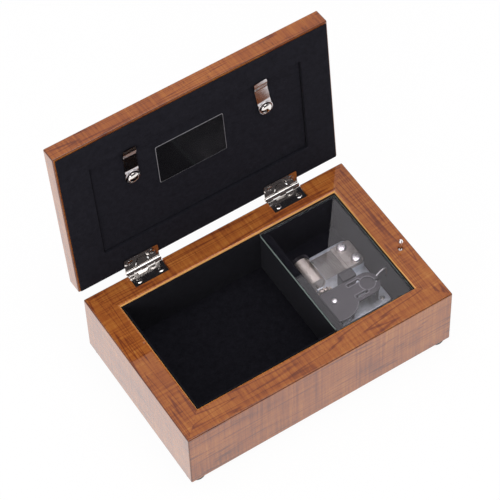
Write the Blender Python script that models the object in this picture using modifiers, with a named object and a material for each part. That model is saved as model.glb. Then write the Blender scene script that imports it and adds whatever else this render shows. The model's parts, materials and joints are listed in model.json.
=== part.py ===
"""Musical jewelry box: a lacquered wooden box with a hinged picture lid, a velvet-lined jewelry
compartment, and an 18-note cylinder movement under a glass cover. Metres, +Z up. The lid is open."""

import math

import bmesh
import bpy
from mathutils import Matrix, Vector

MM = 0.001

# General clearances
GAP = 0.3 * MM
RUNNING = 0.15 * MM
OVERCUT = 2.0 * MM
UNION_INSET = 0.1 * MM

# Box body
BOX_WIDTH = 180.0 * MM
BOX_DEPTH = 115.0 * MM
BODY_HEIGHT = 45.5 * MM
RAIL_WIDTH = 15.8 * MM
OUTER_ROUND = 0.8 * MM
LIP_ROUND = 1.5 * MM
FOOT_HEIGHT = 3.0 * MM
FOOT_RADIUS = 6.0 * MM
FOOT_EDGE = 0.6 * MM
KEY_RECESS = 7.0 * MM
BOARD_THICKNESS = 3.0 * MM
RABBET_WIDTH = 4.0 * MM

# Linings, divider and glass cover
LINING_THICKNESS = 1.0 * MM
LINING_DROP = 2.5 * MM
MOVEMENT_BAY = 53.5 * MM
DIVIDER_THICKNESS = 3.4 * MM
GLASS_THICKNESS = 2.0 * MM
GLASS_DROP = 2.5 * MM

# Lid
LID_OPEN_ANGLE = math.radians(95.5)
LID_DEPTH = 114.0 * MM
LID_THICKNESS = 11.8 * MM
LID_CLOSED_GAP = 0.5 * MM
LID_BACK_INSET = 0.45 * MM
LID_LINING_THICKNESS = 0.8 * MM
LID_LINING_MARGIN = 1.2 * MM
WINDOW_SIDE_BORDER = 20.0 * MM
WINDOW_FREE_BORDER = 20.0 * MM
WINDOW_HINGE_BORDER = 22.0 * MM
WINDOW_LIP_WIDTH = 4.0 * MM
WINDOW_LIP_THICKNESS = 2.5 * MM
WINDOW_LIP_CHAMFER = 1.5 * MM
WINDOW_GLASS_THICKNESS = 2.0 * MM
PICTURE_THICKNESS = 0.5 * MM
PANEL_RECESS = 1.5 * MM
PANEL_CLEARANCE = 0.5 * MM
LABEL_WIDTH = 45.0 * MM
LABEL_HEIGHT = 29.5 * MM
LABEL_THICKNESS = 0.4 * MM
LABEL_X = -5.5 * MM
LABEL_FROM_BACK = 69.4 * MM

# Swing clips on the backing panel
CLIP_FROM_END = 45.5 * MM
CLIP_FROM_BACK = 71.8 * MM
CLIP_WIDTH = 8.6 * MM
CLIP_SHEET = 0.6 * MM
CLIP_EYE_RADIUS = 4.9 * MM
CLIP_EYE_THICKNESS = 1.3 * MM
CLIP_FOLD_BACK = 5.8 * MM
CLIP_RAMP = 4.4 * MM
CLIP_TIP_LAP = 1.6 * MM
CLIP_BORE_CLEARANCE = 0.3 * MM
RIGHT_CLIP_TURN = math.radians(6.0)
CLIP_SCREW_HEAD = 3.5 * MM
CLIP_SCREW_HEAD_HEIGHT = 1.5 * MM
CLIP_SCREW_SHANK = 1.3 * MM
CLIP_SCREW_LENGTH = 3.4 * MM

# Hinges
HINGE_FROM_END = 41.7 * MM
HINGE_LENGTH = 23.0 * MM
HINGE_LEAF_REACH = 9.4 * MM
HINGE_LEAF_THICKNESS = 0.8 * MM
KNUCKLE_RADIUS = 1.7 * MM
KNUCKLE_BORE = 0.85 * MM
KNUCKLE_COUNT = 5
KNUCKLE_GAP = 0.3 * MM
HINGE_PIN_RADIUS = 0.7 * MM
HINGE_PIN_BUTTON = 1.2 * MM
HINGE_PIN_BUTTON_HEIGHT = 0.5 * MM
HINGE_PIN_EDGE = 0.1 * MM
HINGE_AXIS_DROP = 1.0 * MM
MORTISE_SLACK = 0.5 * MM
LEAF_ROUND = 0.2 * MM
TONGUE_ROOT_WIDTH = 9.2 * MM
TONGUE_TIP_WIDTH = 5.0 * MM
TONGUE_REACH = 5.4 * MM
TONGUE_THICKNESS = 0.7 * MM
TONGUE_LEAN = math.radians(4.0)
HINGE_SCREW_X = 7.4 * MM
HINGE_SCREW_FROM_EDGE = 3.6 * MM
HINGE_SCREW_HEAD = 1.9 * MM
HINGE_SCREW_SHANK = 0.9 * MM
HINGE_SCREW_LENGTH = 6.5 * MM
HINGE_SCREW_DOME = 0.2 * MM

# Lid-operated stop
STOP_FROM_EDGE = 6.75 * MM
STOP_Y = -14.2 * MM
STOP_PIN_RADIUS = 1.2 * MM
STOP_NECK_RADIUS = 0.55 * MM
STOP_NECK_BELOW_RIM = 1.0 * MM
STOP_HEAD_RADIUS = 1.35 * MM
STOP_BORE_RADIUS = 1.7 * MM
STOP_HEAD_ABOVE = 6.7 * MM
STOP_CLOSED_CLEARANCE = 0.2 * MM
STOP_WIRE_RADIUS = 0.45 * MM
STOP_WIRE_DROP = 12.5 * MM
STOP_WIRE_BEND = 3.6 * MM
STOP_TIP_ANGLE = math.radians(-14.0)
STOP_FOOT_BELOW_WIRE = 2.2 * MM
STOP_BORE_DEPTH = 34.0 * MM
SPRING_WIRE_RADIUS = 0.2 * MM
SPRING_COIL_RADIUS = 1.15 * MM
SPRING_TURNS = 8

# Movement: its bed and axes. X runs from the spring barrel, which stands off the right wall
BARREL_FROM_WALL = 36.6 * MM
BARREL_Y = -13.0 * MM
CYLINDER_LEFT_OF_BARREL = 1.0 * MM
GOVERNOR_RIGHT_OF_BARREL = 23.3 * MM
GOVERNOR_Y = -13.1 * MM
BED_LEFT_OF_BARREL = 8.1 * MM
BED_RIGHT_OF_BARREL = 33.9 * MM
BED_FRONT = -24.0 * MM
BED_BACK = 28.0 * MM
BED_THICKNESS = 2.0 * MM
BED_CORNER = 2.0 * MM

# Movement: wheels
WHEEL_TEETH = 24
WHEEL_RADIUS = 10.4 * MM
WHEEL_RING = 1.7 * MM
WHEEL_CLEARANCE = 0.4 * MM
WHEEL_PLATE = 1.25 * MM
CYLINDER_PINION_TEETH = 14
GOVERNOR_PINION_TEETH = 8
WORM_WHEEL_TEETH = 16
ADDENDUM = 0.6 * MM
DEDENDUM = 0.75 * MM
TOOTH_WIDTH = 0.85 * MM
TOOTH_ROOT_SHARE = 0.62
TOOTH_TIP_SHARE = 0.34
PINION_WIDTH = 1.6 * MM

# Movement: cylinder and comb
NOTES = 18
NOTE_PITCH = 0.93 * MM
CYLINDER_RADIUS = 6.0 * MM
CYLINDER_FRONT = 3.6 * MM
CYLINDER_END_BAND = 0.8 * MM
CYLINDER_SIDES = 40
PIN_HEIGHT = 0.7 * MM
PIN_INSET = 0.28 * MM
ARBOR_RADIUS = 0.8 * MM
END_GEAR_TEETH = 32
END_GEAR_RADIUS = 6.9 * MM
END_GEAR_WIDTH = 1.8 * MM
COMB_TIP_CLEARANCE = 0.25 * MM
COMB_THICKNESS = 0.9 * MM
COMB_HEEL_THICKNESS = 2.9 * MM
COMB_HEEL_STEP = 0.3 * MM
COMB_TOOTH_LENGTH = 15.0 * MM
COMB_LENGTH = 27.0 * MM
COMB_SLOT = 0.3 * MM
COMB_SCREW_HEAD = 3.1 * MM
COMB_SCREW_HEAD_HEIGHT = 1.9 * MM
COMB_SCREW_SHANK = 1.2 * MM
COMB_SCREW_LENGTH = 5.0 * MM
COMB_SCREW_SPREAD = 11.0 * MM
COMB_SCREW_FROM_HEEL = 5.4 * MM
COMB_SCREW_STAGGER = 1.6 * MM
COMB_EDGE = 0.4 * MM
COMB_CHAMFER = 1.2 * MM
BEARING_THICKNESS = 1.4 * MM
BEARING_WIDTH = 6.0 * MM
BEARING_FOOT = 3.4 * MM

# Movement: spring housing, cover and governor
HOUSING_RADIUS = 8.2 * MM
HOUSING_WALL = 0.8 * MM
HOUSING_CLEARANCE = 0.5 * MM
MAINSPRING_TURNS = 5
MAINSPRING_SIDES = 10
MAINSPRING_THICKNESS = 0.35 * MM
COVER_TOP = 13.9 * MM
COVER_THICKNESS = 1.4 * MM
COVER_RADIUS = 14.4 * MM
COVER_BACK_CUT = 8.2 * MM
COVER_LEFT_CUT = 10.4 * MM
COVER_CAP_RADIUS = 7.9 * MM
COVER_CAP_DISH = 4.5 * MM
COVER_CAP_DISH_DEPTH = 0.5 * MM
COVER_SLOT_LENGTH = 8.6 * MM
COVER_SLOT_WIDTH = 2.0 * MM
COVER_SLOT_SPREAD = 4.6 * MM
COVER_SLOT_BACK = 7.0 * MM
COVER_RIM_WIDTH = 0.7 * MM
COVER_RIM_RISE = 0.4 * MM
COVER_LEG_RADIUS = 0.9 * MM
COVER_LEG_EDGE = 0.2 * MM
HOUSING_LEG_ANGLES = (234.0, 308.0)
CAP_LEG_ANGLES = (-65.0, 65.0)
COVER_RIVET_HEAD = 1.8 * MM
COVER_RIVET_HEIGHT = 0.6 * MM
COVER_RIVET_SHANK = 0.9 * MM
FAN_RADIUS = 4.6 * MM
FAN_HEIGHT = 1.9 * MM
FAN_BLADE = 0.5 * MM
FAN_SHAFT_RADIUS = 0.5 * MM
WORM_RADIUS = 1.0 * MM
WORM_LENGTH = 4.6 * MM
WORM_WHEEL_RADIUS = 2.3 * MM
WORM_CLEARANCE = 0.15 * MM
WORM_TOOTH_RISE = 0.2 * MM
WORM_WHEEL_WIDTH = 1.4 * MM
BLOCK_LENGTH = 9.5 * MM
BLOCK_WIDTH = 6.6 * MM
BLOCK_HEIGHT = 10.8 * MM
BLOCK_ROUND = 0.5 * MM
BLOCK_RIM = 1.0 * MM
BLOCK_POCKET = 0.4 * MM
BLOCK_BACK_GAP = 1.2 * MM
BLOCK_LEFT_OF_LUG = 3.3 * MM
BLOCK_LUG = 2.2 * MM
BLOCK_LUG_WALL = 2.0 * MM
BLOCK_LUG_REACH = 16.0 * MM
PIVOT_DEPTH = 0.8 * MM

# Winding arbor, key and fixing screws
WINDING_ARBOR_RADIUS = 1.6 * MM
KEY_HOLE_RADIUS = 3.4 * MM
KEY_HUB_RADIUS = 2.7 * MM
KEY_WING_RADIUS = 2.5 * MM
KEY_SPAN = 18.0 * MM
KEY_SHEET = 1.3 * MM
KEY_GROUND_CLEARANCE = 1.0 * MM
MOUNT_SCREW_HEAD = 2.6 * MM
MOUNT_SCREW_HEAD_HEIGHT = 1.2 * MM
MOUNT_SCREW_SHANK = 1.2 * MM
MOUNT_SCREW_INSET = 4.2 * MM
BACK_SCREW_SHARE = 0.4

# Levels above the ground, each resting on the one below
BODY_BOTTOM = FOOT_HEIGHT
BODY_TOP = BODY_BOTTOM + BODY_HEIGHT
BOARD_BOTTOM = BODY_BOTTOM + KEY_RECESS
BOARD_TOP = BOARD_BOTTOM + BOARD_THICKNESS
FLOOR_TOP = BOARD_TOP + GAP + LINING_THICKNESS
BED_BOTTOM = FLOOR_TOP + GAP
BED_TOP = BED_BOTTOM + BED_THICKNESS
WHEEL_BOTTOM = BED_TOP + WHEEL_CLEARANCE
MESH_Z = WHEEL_BOTTOM + WHEEL_PLATE + ADDENDUM + RUNNING
LINING_TOP = BODY_TOP - LINING_DROP
GLASS_TOP = BODY_TOP - GLASS_DROP
GLASS_BOTTOM = GLASS_TOP - GLASS_THICKNESS
COVER_Z = BED_TOP + COVER_TOP - BED_THICKNESS
COVER_UNDER = COVER_Z - COVER_THICKNESS

# Inside faces of the four walls
INNER_X = BOX_WIDTH / 2 - RAIL_WIDTH
INNER_Y = BOX_DEPTH / 2 - RAIL_WIDTH

# Places across the box that follow its width
SPLIT_X = INNER_X - MOVEMENT_BAY
HINGE_X = BOX_WIDTH / 2 - HINGE_FROM_END
CLIP_X = BOX_WIDTH / 2 - CLIP_FROM_END
STOP_X = BOX_WIDTH / 2 - STOP_FROM_EDGE
STOP_WIRE_BEND_X = INNER_X - STOP_WIRE_BEND
BARREL_X = INNER_X - BARREL_FROM_WALL
CYLINDER_X = BARREL_X - CYLINDER_LEFT_OF_BARREL
GOVERNOR_X = BARREL_X + GOVERNOR_RIGHT_OF_BARREL
BED_LEFT = BARREL_X - BED_LEFT_OF_BARREL
BED_RIGHT = BARREL_X + BED_RIGHT_OF_BARREL

# Pitch sizes that follow from the drive wheel's crown
MESH_RADIUS = WHEEL_RADIUS - WHEEL_RING / 2
TOOTH_PITCH = 2 * math.pi * MESH_RADIUS / WHEEL_TEETH
CYLINDER_PINION_RADIUS = CYLINDER_PINION_TEETH * TOOTH_PITCH / (2 * math.pi)
GOVERNOR_PINION_RADIUS = GOVERNOR_PINION_TEETH * TOOTH_PITCH / (2 * math.pi)
CYLINDER_Z = MESH_Z + CYLINDER_PINION_RADIUS
GOVERNOR_ARBOR_Z = MESH_Z + GOVERNOR_PINION_RADIUS
CYLINDER_LENGTH = NOTES * NOTE_PITCH + 2 * CYLINDER_END_BAND
CYLINDER_BACK = CYLINDER_FRONT + CYLINDER_LENGTH
COMB_Y = CYLINDER_FRONT + CYLINDER_LENGTH / 2
COMB_TIP_X = CYLINDER_X + CYLINDER_RADIUS + PIN_HEIGHT + COMB_TIP_CLEARANCE
COMB_HEEL_X = COMB_TIP_X + COMB_LENGTH
COMB_TOP = CYLINDER_Z + COMB_THICKNESS / 2
COMB_HEEL_TOP = COMB_TOP + COMB_HEEL_STEP
COMB_HEEL_BOTTOM = COMB_HEEL_TOP - COMB_HEEL_THICKNESS

# Hinge axis, and the lid's own frame: origin on that axis, lid closed, free edge towards -Y
HINGE_AXIS_Y = BOX_DEPTH / 2 + KNUCKLE_RADIUS + GAP
HINGE_AXIS_Z = BODY_TOP - HINGE_AXIS_DROP
LID_BACK = BOX_DEPTH / 2 - LID_BACK_INSET - HINGE_AXIS_Y
LID_FRONT = LID_BACK - LID_DEPTH
LID_FACE = HINGE_AXIS_DROP + LID_CLOSED_GAP
LID_TOP = LID_FACE + LID_THICKNESS
LID_WOOD_BOTTOM = LID_FACE + LID_LINING_THICKNESS + GAP
WINDOW_LEFT = -BOX_WIDTH / 2 + WINDOW_SIDE_BORDER
WINDOW_RIGHT = BOX_WIDTH / 2 - WINDOW_SIDE_BORDER
WINDOW_BACK = LID_BACK - WINDOW_HINGE_BORDER
WINDOW_FRONT = LID_FRONT + WINDOW_FREE_BORDER
WINDOW_GLASS_TOP = LID_TOP - WINDOW_LIP_THICKNESS - GAP
PICTURE_TOP = WINDOW_GLASS_TOP - WINDOW_GLASS_THICKNESS - GAP
PANEL_TOP = PICTURE_TOP - PICTURE_THICKNESS - GAP
PANEL_FACE = LID_FACE + PANEL_RECESS

# Hinge leaves, measured from the axis: the lid leaf above it, the base leaf mirrored below
LEAF_SEAT = LID_FACE - GAP
LEAF_ROOT = KNUCKLE_BORE + RUNNING
LEAF_EDGE = KNUCKLE_RADIUS + HINGE_LEAF_REACH
MORTISE_BOTTOM = HINGE_AXIS_Z - LEAF_SEAT - GAP

# The origin lies under the middle of the whole object as it stands, lid open
LID_REACH_BACK = (-LID_FRONT * -math.cos(LID_OPEN_ANGLE)) + LID_TOP * math.sin(LID_OPEN_ANGLE)
BOX_Y = -(HINGE_AXIS_Y + LID_REACH_BACK - BOX_DEPTH / 2) / 2

# Stop travel: the lid presses the ball head down to the closed lid's face, and the wire's tip,
# which stands clear above the cover, down beside the governor's fan
STOP_TRAVEL = STOP_HEAD_ABOVE + STOP_HEAD_RADIUS + STOP_CLOSED_CLEARANCE - LID_CLOSED_GAP
STOP_WIRE_Z = BODY_TOP - STOP_WIRE_DROP
FAN_TOP = COVER_UNDER - GAP
STOP_TIP_Z = FAN_TOP - FAN_HEIGHT / 2 + STOP_TRAVEL
STOP_TIP_REACH = FAN_RADIUS + STOP_WIRE_RADIUS + GAP + RUNNING
STOP_TIP_X = GOVERNOR_X + STOP_TIP_REACH * math.cos(STOP_TIP_ANGLE)
STOP_TIP_Y = GOVERNOR_Y + STOP_TIP_REACH * math.sin(STOP_TIP_ANGLE)

# Directions from the drive wheel's centre to its two meshes
CYLINDER_OFFSET = CYLINDER_X - BARREL_X
CYLINDER_MESH_Y = BARREL_Y + math.sqrt(MESH_RADIUS**2 - CYLINDER_OFFSET**2)
CYLINDER_MESH_ANGLE = math.atan2(CYLINDER_MESH_Y - BARREL_Y, CYLINDER_OFFSET)
GOVERNOR_DISTANCE = math.hypot(GOVERNOR_X - BARREL_X, GOVERNOR_Y - BARREL_Y)
WORM_OFFSET = WORM_WHEEL_RADIUS + WORM_RADIUS + WORM_CLEARANCE
GOVERNOR_MESH_ANGLE = math.atan2(GOVERNOR_Y - BARREL_Y, GOVERNOR_X - BARREL_X) + math.asin(
    WORM_OFFSET / GOVERNOR_DISTANCE
)
WORM_REACH = math.sqrt(GOVERNOR_DISTANCE**2 - WORM_OFFSET**2)

# Colours (linear RGB), metallic, roughness
FINISHES = {
    "wood": ((0.42, 0.13, 0.045), 0.0, 0.28),
    "board": ((0.30, 0.20, 0.12), 0.0, 0.7),
    "velvet": ((0.012, 0.012, 0.016), 0.0, 0.95),
    "glass": ((0.80, 0.90, 0.88), 0.0, 0.05),
    "nickel": ((0.72, 0.70, 0.68), 1.0, 0.18),
    "steel": ((0.55, 0.53, 0.50), 1.0, 0.35),
    "zinc": ((0.52, 0.56, 0.60), 1.0, 0.45),
    "brass": ((0.62, 0.56, 0.42), 1.0, 0.3),
    "black_plastic": ((0.03, 0.03, 0.035), 0.0, 0.4),
    "gloss_card": ((0.01, 0.01, 0.012), 0.0, 0.15),
    "picture": ((0.55, 0.42, 0.30), 0.0, 0.5),
    "rubber": ((0.02, 0.018, 0.018), 0.0, 0.8),
}


def clear_scene():
    for obj in list(bpy.data.objects):
        bpy.data.objects.remove(obj, do_unlink=True)


def new_collection(name):
    collection = bpy.data.collections.new(name)
    bpy.context.scene.collection.children.link(collection)
    return collection


def finish(name):
    material = bpy.data.materials.get(name)
    if material:
        return material
    colour, metallic, roughness = FINISHES[name]
    material = bpy.data.materials.new(name)
    material.use_nodes = True
    shader = material.node_tree.nodes["Principled BSDF"]
    shader.inputs["Base Color"].default_value = (*colour, 1.0)
    shader.inputs["Metallic"].default_value = metallic
    shader.inputs["Roughness"].default_value = roughness
    return material


def pivot(name, location, parent=None, rotation=(0.0, 0.0, 0.0)):
    empty = bpy.data.objects.new(name, None)
    empty.location = location
    empty.rotation_euler = rotation
    empty.parent = parent
    PARTS.objects.link(empty)
    return empty


def place(name, mesh, location, parent, material):
    """Puts a mesh in the scene: a part when it has a material, else a cutter."""
    obj = bpy.data.objects.new(name, mesh)
    obj.location = location
    obj.parent = parent
    if material:
        mesh.materials.append(finish(material))
        PARTS.objects.link(obj)
    else:
        CUTTERS.objects.link(obj)
        obj.hide_render = True
        obj.display_type = "WIRE"
    return obj


def smooth(obj, degrees=35.0):
    obj.data.shade_smooth()
    obj.data.set_sharp_from_angle(angle=math.radians(degrees))
    return obj


def block(name, low, high, parent, material=None, round_edges=0.0, round_steps=2):
    """A box between two corners, with its edges rounded when asked."""
    low, high = Vector(low), Vector(high)
    mesh = bpy.data.meshes.new(name)
    bm = bmesh.new()
    bmesh.ops.create_cube(bm, size=1.0)
    bmesh.ops.scale(bm, vec=high - low, verts=bm.verts)
    bm.to_mesh(mesh)
    bm.free()
    obj = place(name, mesh, (low + high) / 2, parent, material)
    if round_edges:
        bevel = obj.modifiers.new("rounded_edges", "BEVEL")
        bevel.width = round_edges
        bevel.segments = round_steps
    return obj


def rod(name, start, end, radius, parent, material=None, sides=24, end_radius=None):
    """A cylinder, or a cone, from one point to another; its origin is the start point."""
    start, end = Vector(start), Vector(end)
    length = (end - start).length
    mesh = bpy.data.meshes.new(name)
    bm = bmesh.new()
    bmesh.ops.create_cone(
        bm,
        cap_ends=True,
        segments=sides,
        radius1=radius,
        radius2=radius if end_radius is None else end_radius,
        depth=length,
        matrix=Matrix.Translation((0.0, 0.0, length / 2)),
    )
    bm.to_mesh(mesh)
    bm.free()
    obj = place(name, mesh, start, parent, material)
    obj.rotation_euler = (end - start).to_track_quat("Z", "Y").to_euler()
    return smooth(obj)


def turned(name, profile, location, parent, material=None, sides=32, ring=False):
    """A turned piece from (radius, height) points that run down its outer side. A ring's profile
    comes back up its inner side to where it began."""
    mesh = bpy.data.meshes.new(name)
    bm = bmesh.new()
    points = [bm.verts.new((radius, 0.0, height)) for radius, height in profile]
    for upper, lower in zip(points, points[1:]):
        bm.edges.new((upper, lower))
    if ring:
        bm.edges.new((points[-1], points[0]))
    bm.to_mesh(mesh)
    bm.free()
    obj = place(name, mesh, location, parent, material)
    screw = obj.modifiers.new("turned", "SCREW")
    screw.steps = sides
    screw.render_steps = sides
    screw.use_merge_vertices = True
    screw.merge_threshold = 0.00001
    screw.use_smooth_shade = True
    return obj


def plate(name, outlines, thickness, location, parent, material=None):
    """A flat piece from closed outlines; outlines inside the first are holes. It is centred on z."""
    curve = bpy.data.curves.new(name + "_outline", "CURVE")
    curve.dimensions = "2D"
    curve.fill_mode = "BOTH"
    curve.extrude = thickness / 2
    for points in outlines:
        spline = curve.splines.new("POLY")
        spline.points.add(len(points) - 1)
        for target, (x, y) in zip(spline.points, points):
            target.co = (x, y, 0.0, 1.0)
        spline.use_cyclic_u = True
    return from_curve(name, curve, location, parent, material)


def from_curve(name, curve, location, parent, material):
    """Turns a curve into a mesh piece with its caps welded on."""
    source = bpy.data.objects.new(name + "_curve", curve)
    CUTTERS.objects.link(source)
    bpy.context.view_layer.update()
    evaluated = source.evaluated_get(bpy.context.evaluated_depsgraph_get())
    mesh = bpy.data.meshes.new_from_object(evaluated)
    mesh.name = name
    bm = bmesh.new()
    bm.from_mesh(mesh)
    bmesh.ops.remove_doubles(bm, verts=bm.verts, dist=0.000001)
    bmesh.ops.recalc_face_normals(bm, faces=bm.faces)
    bm.to_mesh(mesh)
    bm.free()
    bpy.data.objects.remove(source, do_unlink=True)
    mesh.materials.clear()
    return smooth(place(name, mesh, location, parent, material))


def wire(name, points, radius, parent, material, resolution=2):
    """A round wire along the points; its origin is the first point."""
    origin = Vector(points[0])
    curve = bpy.data.curves.new(name + "_path", "CURVE")
    curve.dimensions = "3D"
    curve.bevel_depth = radius
    curve.bevel_resolution = resolution
    curve.use_fill_caps = True
    spline = curve.splines.new("POLY")
    spline.points.add(len(points) - 1)
    for target, point in zip(spline.points, points):
        target.co = (*(Vector(point) - origin), 1.0)
    return from_curve(name, curve, origin, parent, material)


def boolean(obj, other, operation):
    modifier = obj.modifiers.new(operation.lower() + "_" + other.name, "BOOLEAN")
    modifier.operation = operation
    modifier.object = other
    modifier.solver = "EXACT"


def cut(obj, *cutters):
    for cutter in cutters:
        boolean(obj, cutter, "DIFFERENCE")


def join(obj, *others):
    for other in others:
        boolean(obj, other, "UNION")


def circle(radius, count, x=0.0, y=0.0):
    turns = (2 * math.pi * k / count for k in range(count))
    return [(x + radius * math.cos(t), y + radius * math.sin(t)) for t in turns]


def gear_outline(teeth, pitch_radius, phase, width=TOOTH_WIDTH, addendum=ADDENDUM, dedendum=DEDENDUM):
    """Tapered teeth, the first one pointing at the phase angle."""
    points = []
    for k in range(teeth):
        centre = phase + 2 * math.pi * k / teeth
        for radius, half in (
            (pitch_radius - dedendum, TOOTH_ROOT_SHARE * width),
            (pitch_radius + addendum, TOOTH_TIP_SHARE * width),
        ):
            points.append((centre, radius, -half / radius))
        for radius, half in (
            (pitch_radius + addendum, TOOTH_TIP_SHARE * width),
            (pitch_radius - dedendum, TOOTH_ROOT_SHARE * width),
        ):
            points.append((centre, radius, half / radius))
    return [(r * math.cos(c + a), r * math.sin(c + a)) for c, r, a in points]


def flared_opening(name, low, high, flare, steps, parent):
    """A cutter with straight walls that open outwards at the top: round a bullnose lip, or, with
    one step, as a chamfer. It runs on past the top."""
    rings = [(0.0, low[2])]
    for k in range(steps + 1):
        turn = math.radians(90.0) * k / steps
        rings.append((flare * (1 - math.cos(turn)), high[2] - flare + flare * math.sin(turn)))
    rings.append((flare, high[2] + OVERCUT))
    mesh = bpy.data.meshes.new(name)
    bm = bmesh.new()
    loops = []
    for grow, z in rings:
        left, right = low[0] - grow, high[0] + grow
        front, back = low[1] - grow, high[1] + grow
        corners = ((left, front, z), (right, front, z), (right, back, z), (left, back, z))
        loops.append([bm.verts.new(corner) for corner in corners])
    bm.faces.new(reversed(loops[0]))
    bm.faces.new(loops[-1])
    for lower, upper in zip(loops, loops[1:]):
        for k in range(4):
            n = (k + 1) % 4
            bm.faces.new((lower[k], lower[n], upper[n], upper[k]))
    bm.to_mesh(mesh)
    bm.free()
    return place(name, mesh, (0.0, 0.0, 0.0), parent, None)


def make_carcass(box):
    """Four joined walls: bullnose inner lip, rabbet below for the board, mortises, stop bore."""
    low = (-BOX_WIDTH / 2, -BOX_DEPTH / 2, BODY_BOTTOM)
    high = (BOX_WIDTH / 2, BOX_DEPTH / 2, BODY_TOP)
    carcass = block("carcass", low, high, box, "wood", OUTER_ROUND)
    inside = flared_opening(
        "inside_cutter",
        (-INNER_X, -INNER_Y, BODY_BOTTOM - OVERCUT),
        (INNER_X, INNER_Y, BODY_TOP),
        LIP_ROUND,
        4,
        box,
    )
    rabbet = block(
        "rabbet_cutter",
        (-INNER_X - RABBET_WIDTH, -INNER_Y - RABBET_WIDTH, BODY_BOTTOM - OVERCUT),
        (INNER_X + RABBET_WIDTH, INNER_Y + RABBET_WIDTH, BOARD_TOP + GAP),
        box,
    )
    cut(carcass, inside, rabbet)
    mortise_x = HINGE_LENGTH / 2 + GAP
    for side, x in (("left", -HINGE_X), ("right", HINGE_X)):
        mortise = block(
            "mortise_cutter_" + side,
            (x - mortise_x, HINGE_AXIS_Y - LEAF_EDGE - MORTISE_SLACK, MORTISE_BOTTOM),
            (x + mortise_x, BOX_DEPTH / 2 + OVERCUT, BODY_TOP + OVERCUT),
            box,
        )
        cut(carcass, mortise)
    bore = rod(
        "stop_bore_cutter",
        (STOP_X, STOP_Y, BODY_TOP - STOP_BORE_DEPTH),
        (STOP_X, STOP_Y, BODY_TOP + OVERCUT),
        STOP_BORE_RADIUS,
        box,
    )
    cut(carcass, bore, stop_slot(box))
    return carcass


def stop_slot(box):
    """The upright slot through the right wall and its lining that the stop wire travels in."""
    name = "stop_slot_cutter"
    if name in bpy.data.objects:
        return bpy.data.objects[name]
    half = STOP_WIRE_RADIUS + GAP
    return block(
        name,
        (INNER_X - LINING_THICKNESS - 2 * GAP - OVERCUT, STOP_Y - half, STOP_WIRE_Z - STOP_TRAVEL - half),
        (STOP_X, STOP_Y + half, STOP_WIRE_Z + half),
        box,
    )


def make_bottom_board(box):
    board = block(
        "bottom_board",
        (-INNER_X - RABBET_WIDTH + GAP, -INNER_Y - RABBET_WIDTH + GAP, BOARD_BOTTOM),
        (INNER_X + RABBET_WIDTH - GAP, INNER_Y + RABBET_WIDTH - GAP, BOARD_TOP),
        box,
        "board",
    )
    cut(board, key_hole(box))
    cut(board, *mount_screw_holes(box))
    return board


def key_hole(box):
    name = "key_hole_cutter"
    if name in bpy.data.objects:
        return bpy.data.objects[name]
    return rod(
        name,
        (BARREL_X, BARREL_Y, BOARD_BOTTOM - OVERCUT),
        (BARREL_X, BARREL_Y, FLOOR_TOP + GAP / 2),
        KEY_HOLE_RADIUS,
        box,
    )


def mount_screw_places():
    return {
        "back": (BED_LEFT + BACK_SCREW_SHARE * (BED_RIGHT - BED_LEFT), BED_BACK - MOUNT_SCREW_INSET),
        "left": (BED_LEFT + MOUNT_SCREW_INSET, CYLINDER_FRONT),
        "front": (BED_RIGHT - MOUNT_SCREW_INSET, BED_FRONT + MOUNT_SCREW_INSET),
    }


def mount_screw_holes(box):
    holes = []
    for side, (x, y) in mount_screw_places().items():
        name = "mount_hole_cutter_" + side
        if name not in bpy.data.objects:
            rod(
                name,
                (x, y, BOARD_BOTTOM - OVERCUT),
                (x, y, BED_TOP + OVERCUT),
                MOUNT_SCREW_SHANK + GAP,
                box,
                sides=16,
            )
        holes.append(bpy.data.objects[name])
    return holes


def make_mount_screws(box):
    """Three pan-head screws that come up through the bottom board into the movement's bed."""
    for side, (x, y) in mount_screw_places().items():
        top = BED_TOP - GAP
        seat = BOARD_BOTTOM - GAP
        under = seat - MOUNT_SCREW_HEAD_HEIGHT
        profile = [
            (0.0, top),
            (MOUNT_SCREW_SHANK, top),
            (MOUNT_SCREW_SHANK, seat),
            (MOUNT_SCREW_HEAD, seat),
            (MOUNT_SCREW_HEAD, under + 0.4 * MOUNT_SCREW_HEAD_HEIGHT),
            (0.7 * MOUNT_SCREW_HEAD, under),
            (0.0, under),
        ]
        turned("movement_screw_" + side, profile, (x, y, 0.0), box, "steel", 12)


def make_tray(name, low, high, box):
    """A floor and four walls of lining, open at the top."""
    tray = block(name, low, high, box, "velvet")
    hollow = block(
        name + "_hollow_cutter",
        (low[0] + LINING_THICKNESS, low[1] + LINING_THICKNESS, low[2] + LINING_THICKNESS),
        (high[0] - LINING_THICKNESS, high[1] - LINING_THICKNESS, high[2] + OVERCUT),
        box,
    )
    cut(tray, hollow)
    return tray


def make_linings(box):
    bottom = BOARD_TOP + GAP
    split = SPLIT_X + LINING_THICKNESS
    jewelry = make_tray(
        "jewelry_lining",
        (-INNER_X + GAP, -INNER_Y + GAP, bottom),
        (split, INNER_Y - GAP, LINING_TOP),
        box,
    )
    under_glass = block(
        "glass_seat_cutter",
        (SPLIT_X - GAP / 2, -INNER_Y, GLASS_BOTTOM - GAP),
        (split + GAP, INNER_Y, BODY_TOP),
        box,
    )
    cut(jewelry, under_glass)
    block(
        "divider",
        (split + GAP, -INNER_Y + GAP, bottom),
        (split + GAP + DIVIDER_THICKNESS, INNER_Y - GAP, GLASS_BOTTOM - GAP),
        box,
        "velvet",
    )
    movement = make_tray(
        "movement_lining",
        (split + 2 * GAP + DIVIDER_THICKNESS, -INNER_Y + GAP, bottom),
        (INNER_X - GAP, INNER_Y - GAP, GLASS_BOTTOM - GAP),
        box,
    )
    cut(movement, stop_slot(box), key_hole(box), *mount_screw_holes(box))


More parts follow.
